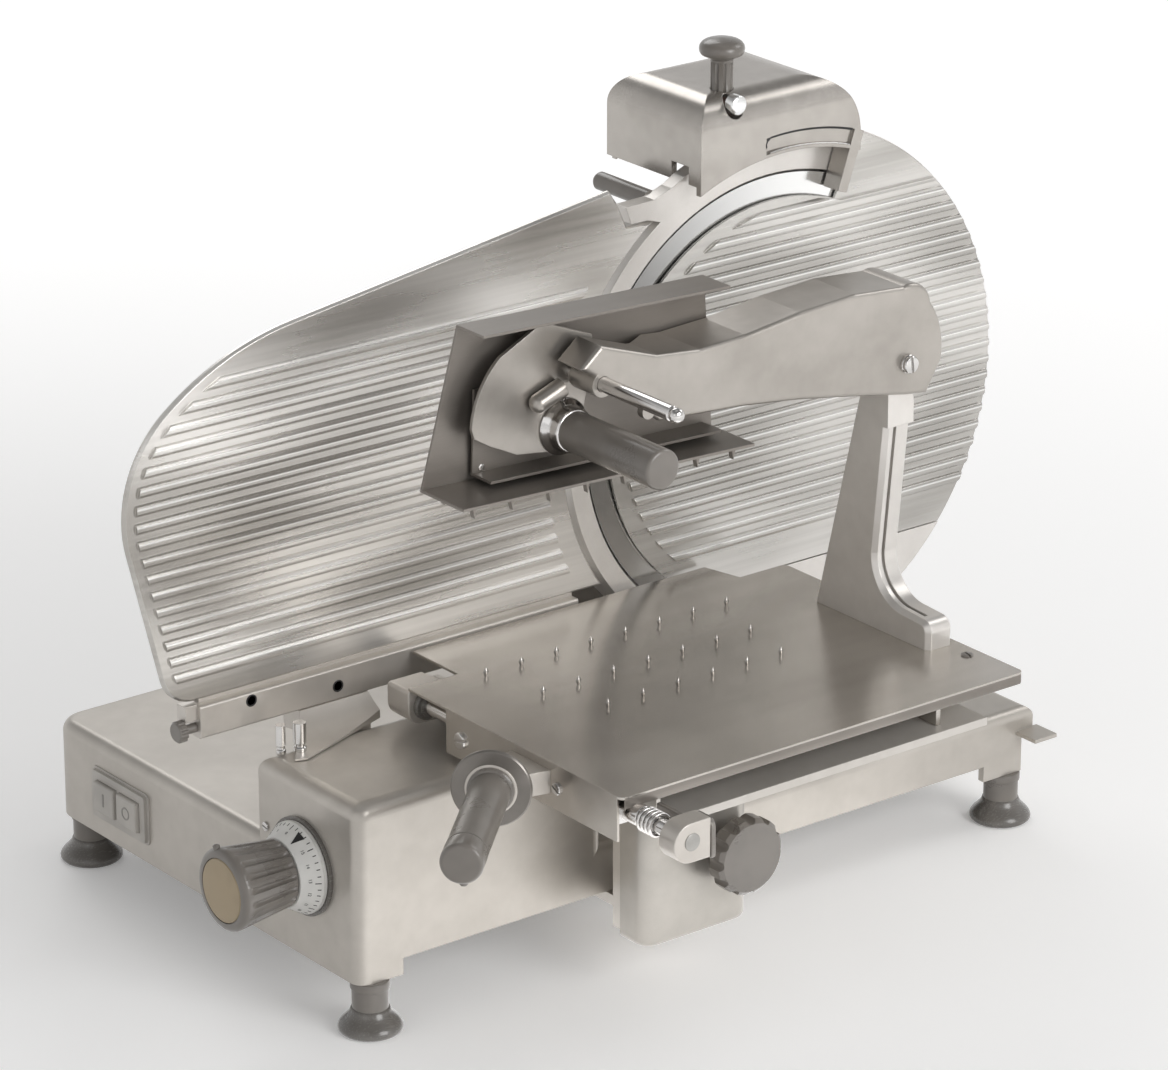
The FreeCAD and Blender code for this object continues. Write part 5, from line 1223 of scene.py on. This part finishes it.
@dataclass
class Handles:
    """The two grips, the ring and the collar at their feet, and a set screw."""

    lean: Tuple[float, float, float] = (-0.72, -0.694, 0.0)
    handle: Tuple[float, float, float] = (66.0, -68.0, 200.0)
    grip: float = 15.0
    reach: float = 130.0
    press: Tuple[float, float] = (165.0, 428.0)
    press_front: float = -131.0
    press_back: float = -20.0
    press_grip: float = 14.5

    def build(self) -> None:
        """Makes the handle's and the press grip's parts."""
        self.table_handle()
        self.press_handle()

    def table_handle(self) -> None:
        """The turned grip of the table's handle, its grub screw and the thin ring round its foot."""
        way, place = Vector(self.lean), at(*self.handle)
        end, grip = self.reach, self.grip
        Maker("handle_grip_turned").turned(place, way, (
            (0.1, 4), (grip + 1.6, 4), (grip + 1.6, 7.5), (grip + 0.8, 8.4), (grip - 0.4, 8.8),
            (grip - 0.4, 10), (grip - 0.2, end - 24), (grip, end - 20.5), (grip - 0.9, end - 20),
            (grip - 0.9, end - 18.8), (grip + 0.1, end - 18.3), (grip + 0.1, end - 3.2),
            (grip - 0.5, end - 1.4), (grip - 1.8, end - 0.2), (grip - 3.2, end), (0.1, end + 0.3)), 64).done(
            GRIP, "dark_plastic", Body.TABLE, "handle_grip")
        low = place + way.normalized() * (end - 11) * MM - Vector((0, 0, grip * MM))
        Maker("handle_grub_screw").turned(low, Way.DOWN, (
            (0.1, -1), (3.2, -1), (3.2, 3.4), (2.4, 4.6), (0.1, 4.6)), 20).done(
            GRIP, "dark_plastic", Body.TABLE)
        Maker("handle_hub").turned(place, way, (
            (16.9, 3.8), (18.3, 3.9), (18.5, 4.4), (17.4, 5.0), (16.7, 5.0)), 56).done(
            CAST, "steel", Body.TABLE)

    def press_handle(self) -> None:
        """The smooth grip at the press head and the bright flared collar behind it."""
        x, z = self.press
        wide = self.press_grip
        Maker("press_grip_turned").turned(at(x, self.press_front, z), Way.BACK, (
            (0.1, -0.2), (wide - 2.6, 0), (wide - 1.2, 0.4), (wide - 0.2, 1.6), (wide, 3.0), (wide, 98),
            (wide - 0.8, 98.6), (wide - 0.8, 111), (0.1, 111)), 64).done(
            GRIP, "dark_plastic", Body.HEAD, "press_grip")
        Maker("press_grip_collar").turned(at(x, self.press_back, z), Way.FRONT, (
            (0.1, 0), (20.0, 0), (20.6, 0.8), (19.8, 2.4), (17.4, 4.4), (16.2, 7.4), (16.0, 12.6),
            (15.4, 13.6), (14.0, 13.8), (0.1, 13.8)), 64).done(CHROME, "steel", Body.HEAD, crease=60)


@dataclass
class PressTrim:
    """The pivot's slotted head, the guide rod with its turned end and the screws of the press plates."""

    pivot: Tuple[float, float, float] = (449.6, -57.4, 422.4)
    rod: Tuple[float, float, float] = (174.0, -138.0, 466.0)
    rod_radius: float = 5.5
    rod_length: float = 131.3
    head: Tuple[float, float, float] = (184.5, -6.4, 393.7)
    screws: Profile = ((-80, 14), (96, 14), (-78, 60), (98, 60))

    def build(self) -> None:
        """Makes them all."""
        slotted_screw("pivot_screw_head", at(*self.pivot), Way.FRONT, 6.6, Body.TABLE, CHROME, lean=0.9)
        wide, long = self.rod_radius, self.rod_length
        Maker("guide_rod_turned").turned(at(*self.rod), Way.BACK, (
            (0.1, -0.4), (wide - 2.9, 0), (wide - 1.1, 1.0), (wide - 0.3, 2.6), (wide, 4.4),
            (wide - 0.3, 6.4), (wide - 1.0, 7.4), (wide - 1.0, 8.4), (wide, 9.2), (wide, long),
            (0.1, long)), 40).done(CHROME, "steel", Body.HEAD, "press_guide_rod", crease=50)
        x, y, z = self.head
        for index, (reach, rise) in enumerate(self.screws):
            slotted_screw(f"plate_screw_{index}", at(x + reach, y, z + rise), Way.FRONT, 2.6, Body.HEAD,
                          CHROME)


# ------------------------------------------------------------------ studio
# Sizes are in metres, in the part's frame.

@dataclass
class Studio:
    """The floor, the backdrop light, the lamps and the camera."""

    azimuth: float = math.radians(37.84)
    elevation: float = math.radians(21.05)
    eye: Tuple[float, float, float] = (-2.2472, -2.8381, 1.6752)
    image_width: float = 1168.0
    focal_pixels: float = 5322.0
    sensor: float = 36.0
    floor_size: float = 14.0
    floor_fade: Tuple[float, float] = (0.4, 2.4)
    floor_glow: Tuple[float, float] = (0.17, 0.26)
    bounce: Tuple[float, float] = (-0.05, -0.28)
    bounce_fade: Tuple[float, float] = (0.12, 0.42)
    bounce_glow: float = 2.0
    aim: Tuple[float, float, float] = (0.0, 0.0, 0.3)
    sky_stops: Tuple[Tuple[float, float], ...] = (
        (0.0, 0.8), (0.5, 0.88), (0.6, 0.74), (0.73, 0.66), (0.83, 0.28), (0.94, 0.2), (1.0, 0.5))
    lamps: Tuple[Tuple[str, Tuple[float, float, float], float, float], ...] = (
        ("key_lamp", (0.5, -3.0, 1.5), 1.6, 46.0), ("right_lamp", (2.3, -0.6, 2.3), 1.2, 13.0),
        ("back_lamp", (0.8, 2.3, 2.4), 1.4, 16.0), ("left_lamp", (-2.6, -1.2, 1.6), 1.2, 2.0))

    def build(self) -> None:
        """Makes everything that lights and frames the machine."""
        self.floor()
        self.sky()
        self.camera()
        for lamp in self.lamps:
            self.lamp(*lamp)
        LOG.info("studio ready")

    def floor(self) -> None:
        """A pale floor that keeps the shadow and turns white further out, with a painted glow that near
        metal mirrors.
        """
        half = self.floor_size / 2
        mesh = bpy.data.meshes.new("floor")
        mesh.from_pydata([(u * half, v * half, 0) for u, v in ((-1, -1), (1, -1), (1, 1), (-1, 1))], [],
                         [(0, 1, 2, 3)])
        floor = bpy.data.objects.new("floor", mesh)
        bpy.context.scene.collection.objects.link(floor)
        paint = bpy.data.materials.new("pale_floor")
        tree = Tree(paint)
        away = tree.node("ShaderNodeVectorMath", {"operation": "LENGTH"}, {0: tree.place()}, "Value")
        mirrored = tree.node("ShaderNodeLightPath", {}, {}, "Is Glossy Ray")
        across, deep = tree.axis("X") - self.bounce[0], tree.axis("Y") - self.bounce[1]
        # painted reflection: a glow near the machine that only glossy rays see, so that metal close by
        # mirrors a brighter floor
        near = 1 - ((across * across + deep * deep) ** 0.5).ramp(*self.bounce_fade)
        level, rise = self.floor_glow
        glow = (self.seen(tree) * (away.ramp(*self.floor_fade) * rise + level)
                + mirrored * near * self.bounce_glow)
        close(tree, Base_Color=(0.93, 0.925, 0.92, 1), Roughness=0.9, Specular_IOR_Level=0.1,
              Emission_Strength=1.0, Emission_Color=tree.tint(glow, (0.0, 0.0, 0.0), (1.0, 1.0, 1.0)))
        mesh.materials.append(paint)

    def seen(self, tree: Tree) -> Signal:
        """Marks the rays that may see a white floor.

        Args:
            tree: the floor's tree.

        Returns:
            1 for rays from the camera and for those that metal or glass send on, otherwise 0.
        """
        rays = [tree.node("ShaderNodeLightPath", {}, {}, name) for name in (
            "Is Camera Ray", "Is Glossy Ray", "Is Transmission Ray")]
        return (rays[0] + rays[1] + rays[2]).clamp()

    def sky(self) -> None:
        """Soft light from all round: bright low down, dark above that, and paler overhead."""
        world = bpy.data.worlds.new("studio")
        bpy.context.scene.world = world
        tree = Tree(world)
        place = tree.node("ShaderNodeTexCoord", {}, {}, "Generated")
        height = tree.node("ShaderNodeSeparateXYZ", {}, {"Vector": place}, "Z")
        level = tree.node("ShaderNodeValToRGB", {"stops": self.sky_stops}, {0: height * 0.5 + 0.5})
        light = tree.node("ShaderNodeBackground", {}, {"Color": level, "Strength": 1.0})
        output = tree.nodes.new("ShaderNodeOutputWorld")
        tree.links.new(light.socket, output.inputs["Surface"])

    def lamp(self, name: str, place: Tuple[float, float, float], size: float, power: float) -> None:
        """A square soft lamp that looks at the middle of the machine.

        Args:
            name: the lamp's name.
            place: where it hangs, in metres.
            size: the length of its side, in metres.
            power: its power in watts.
        """
        data = bpy.data.lights.new(name, "AREA")
        data.shape = "SQUARE"
        data.size = size
        data.energy = power
        lamp = bpy.data.objects.new(name, data)
        bpy.context.scene.collection.objects.link(lamp)
        lamp.location = place
        lamp.rotation_mode = "QUATERNION"
        lamp.rotation_quaternion = (Vector(self.aim) - Vector(place)).to_track_quat("-Z", "Y")

    def camera(self) -> None:
        """A long lens, turned to the left front and looking a little down."""
        data = bpy.data.cameras.new("camera")
        data.sensor_width = self.sensor
        data.lens = self.sensor * self.focal_pixels / self.image_width
        camera = bpy.data.objects.new("camera", data)
        bpy.context.scene.collection.objects.link(camera)
        back = Vector((-math.sin(self.azimuth) * math.cos(self.elevation),
                       -math.cos(self.azimuth) * math.cos(self.elevation), math.sin(self.elevation)))
        camera.location = self.eye
        camera.rotation_mode = "QUATERNION"
        camera.rotation_quaternion = (-back).to_track_quat("-Z", "Y")
        bpy.context.scene.camera = camera
        bpy.context.scene.view_settings.view_transform = "Standard"


def main() -> None:
    """Dresses the CAD nodes, builds every piece in order and reports each."""
    logging.basicConfig(level=logging.INFO, format="%(name)s: %(message)s")
    dress_all()
    for part in (ThicknessDial, Feet, Switch, GaugeTrim, SharpenerTrim, RodGear, TableTrim, Handles,
                 PressTrim):
        part().build()
        LOG.info("%s ready", part.__name__)
    Studio().build()


if __name__ == "__main__":
    main()
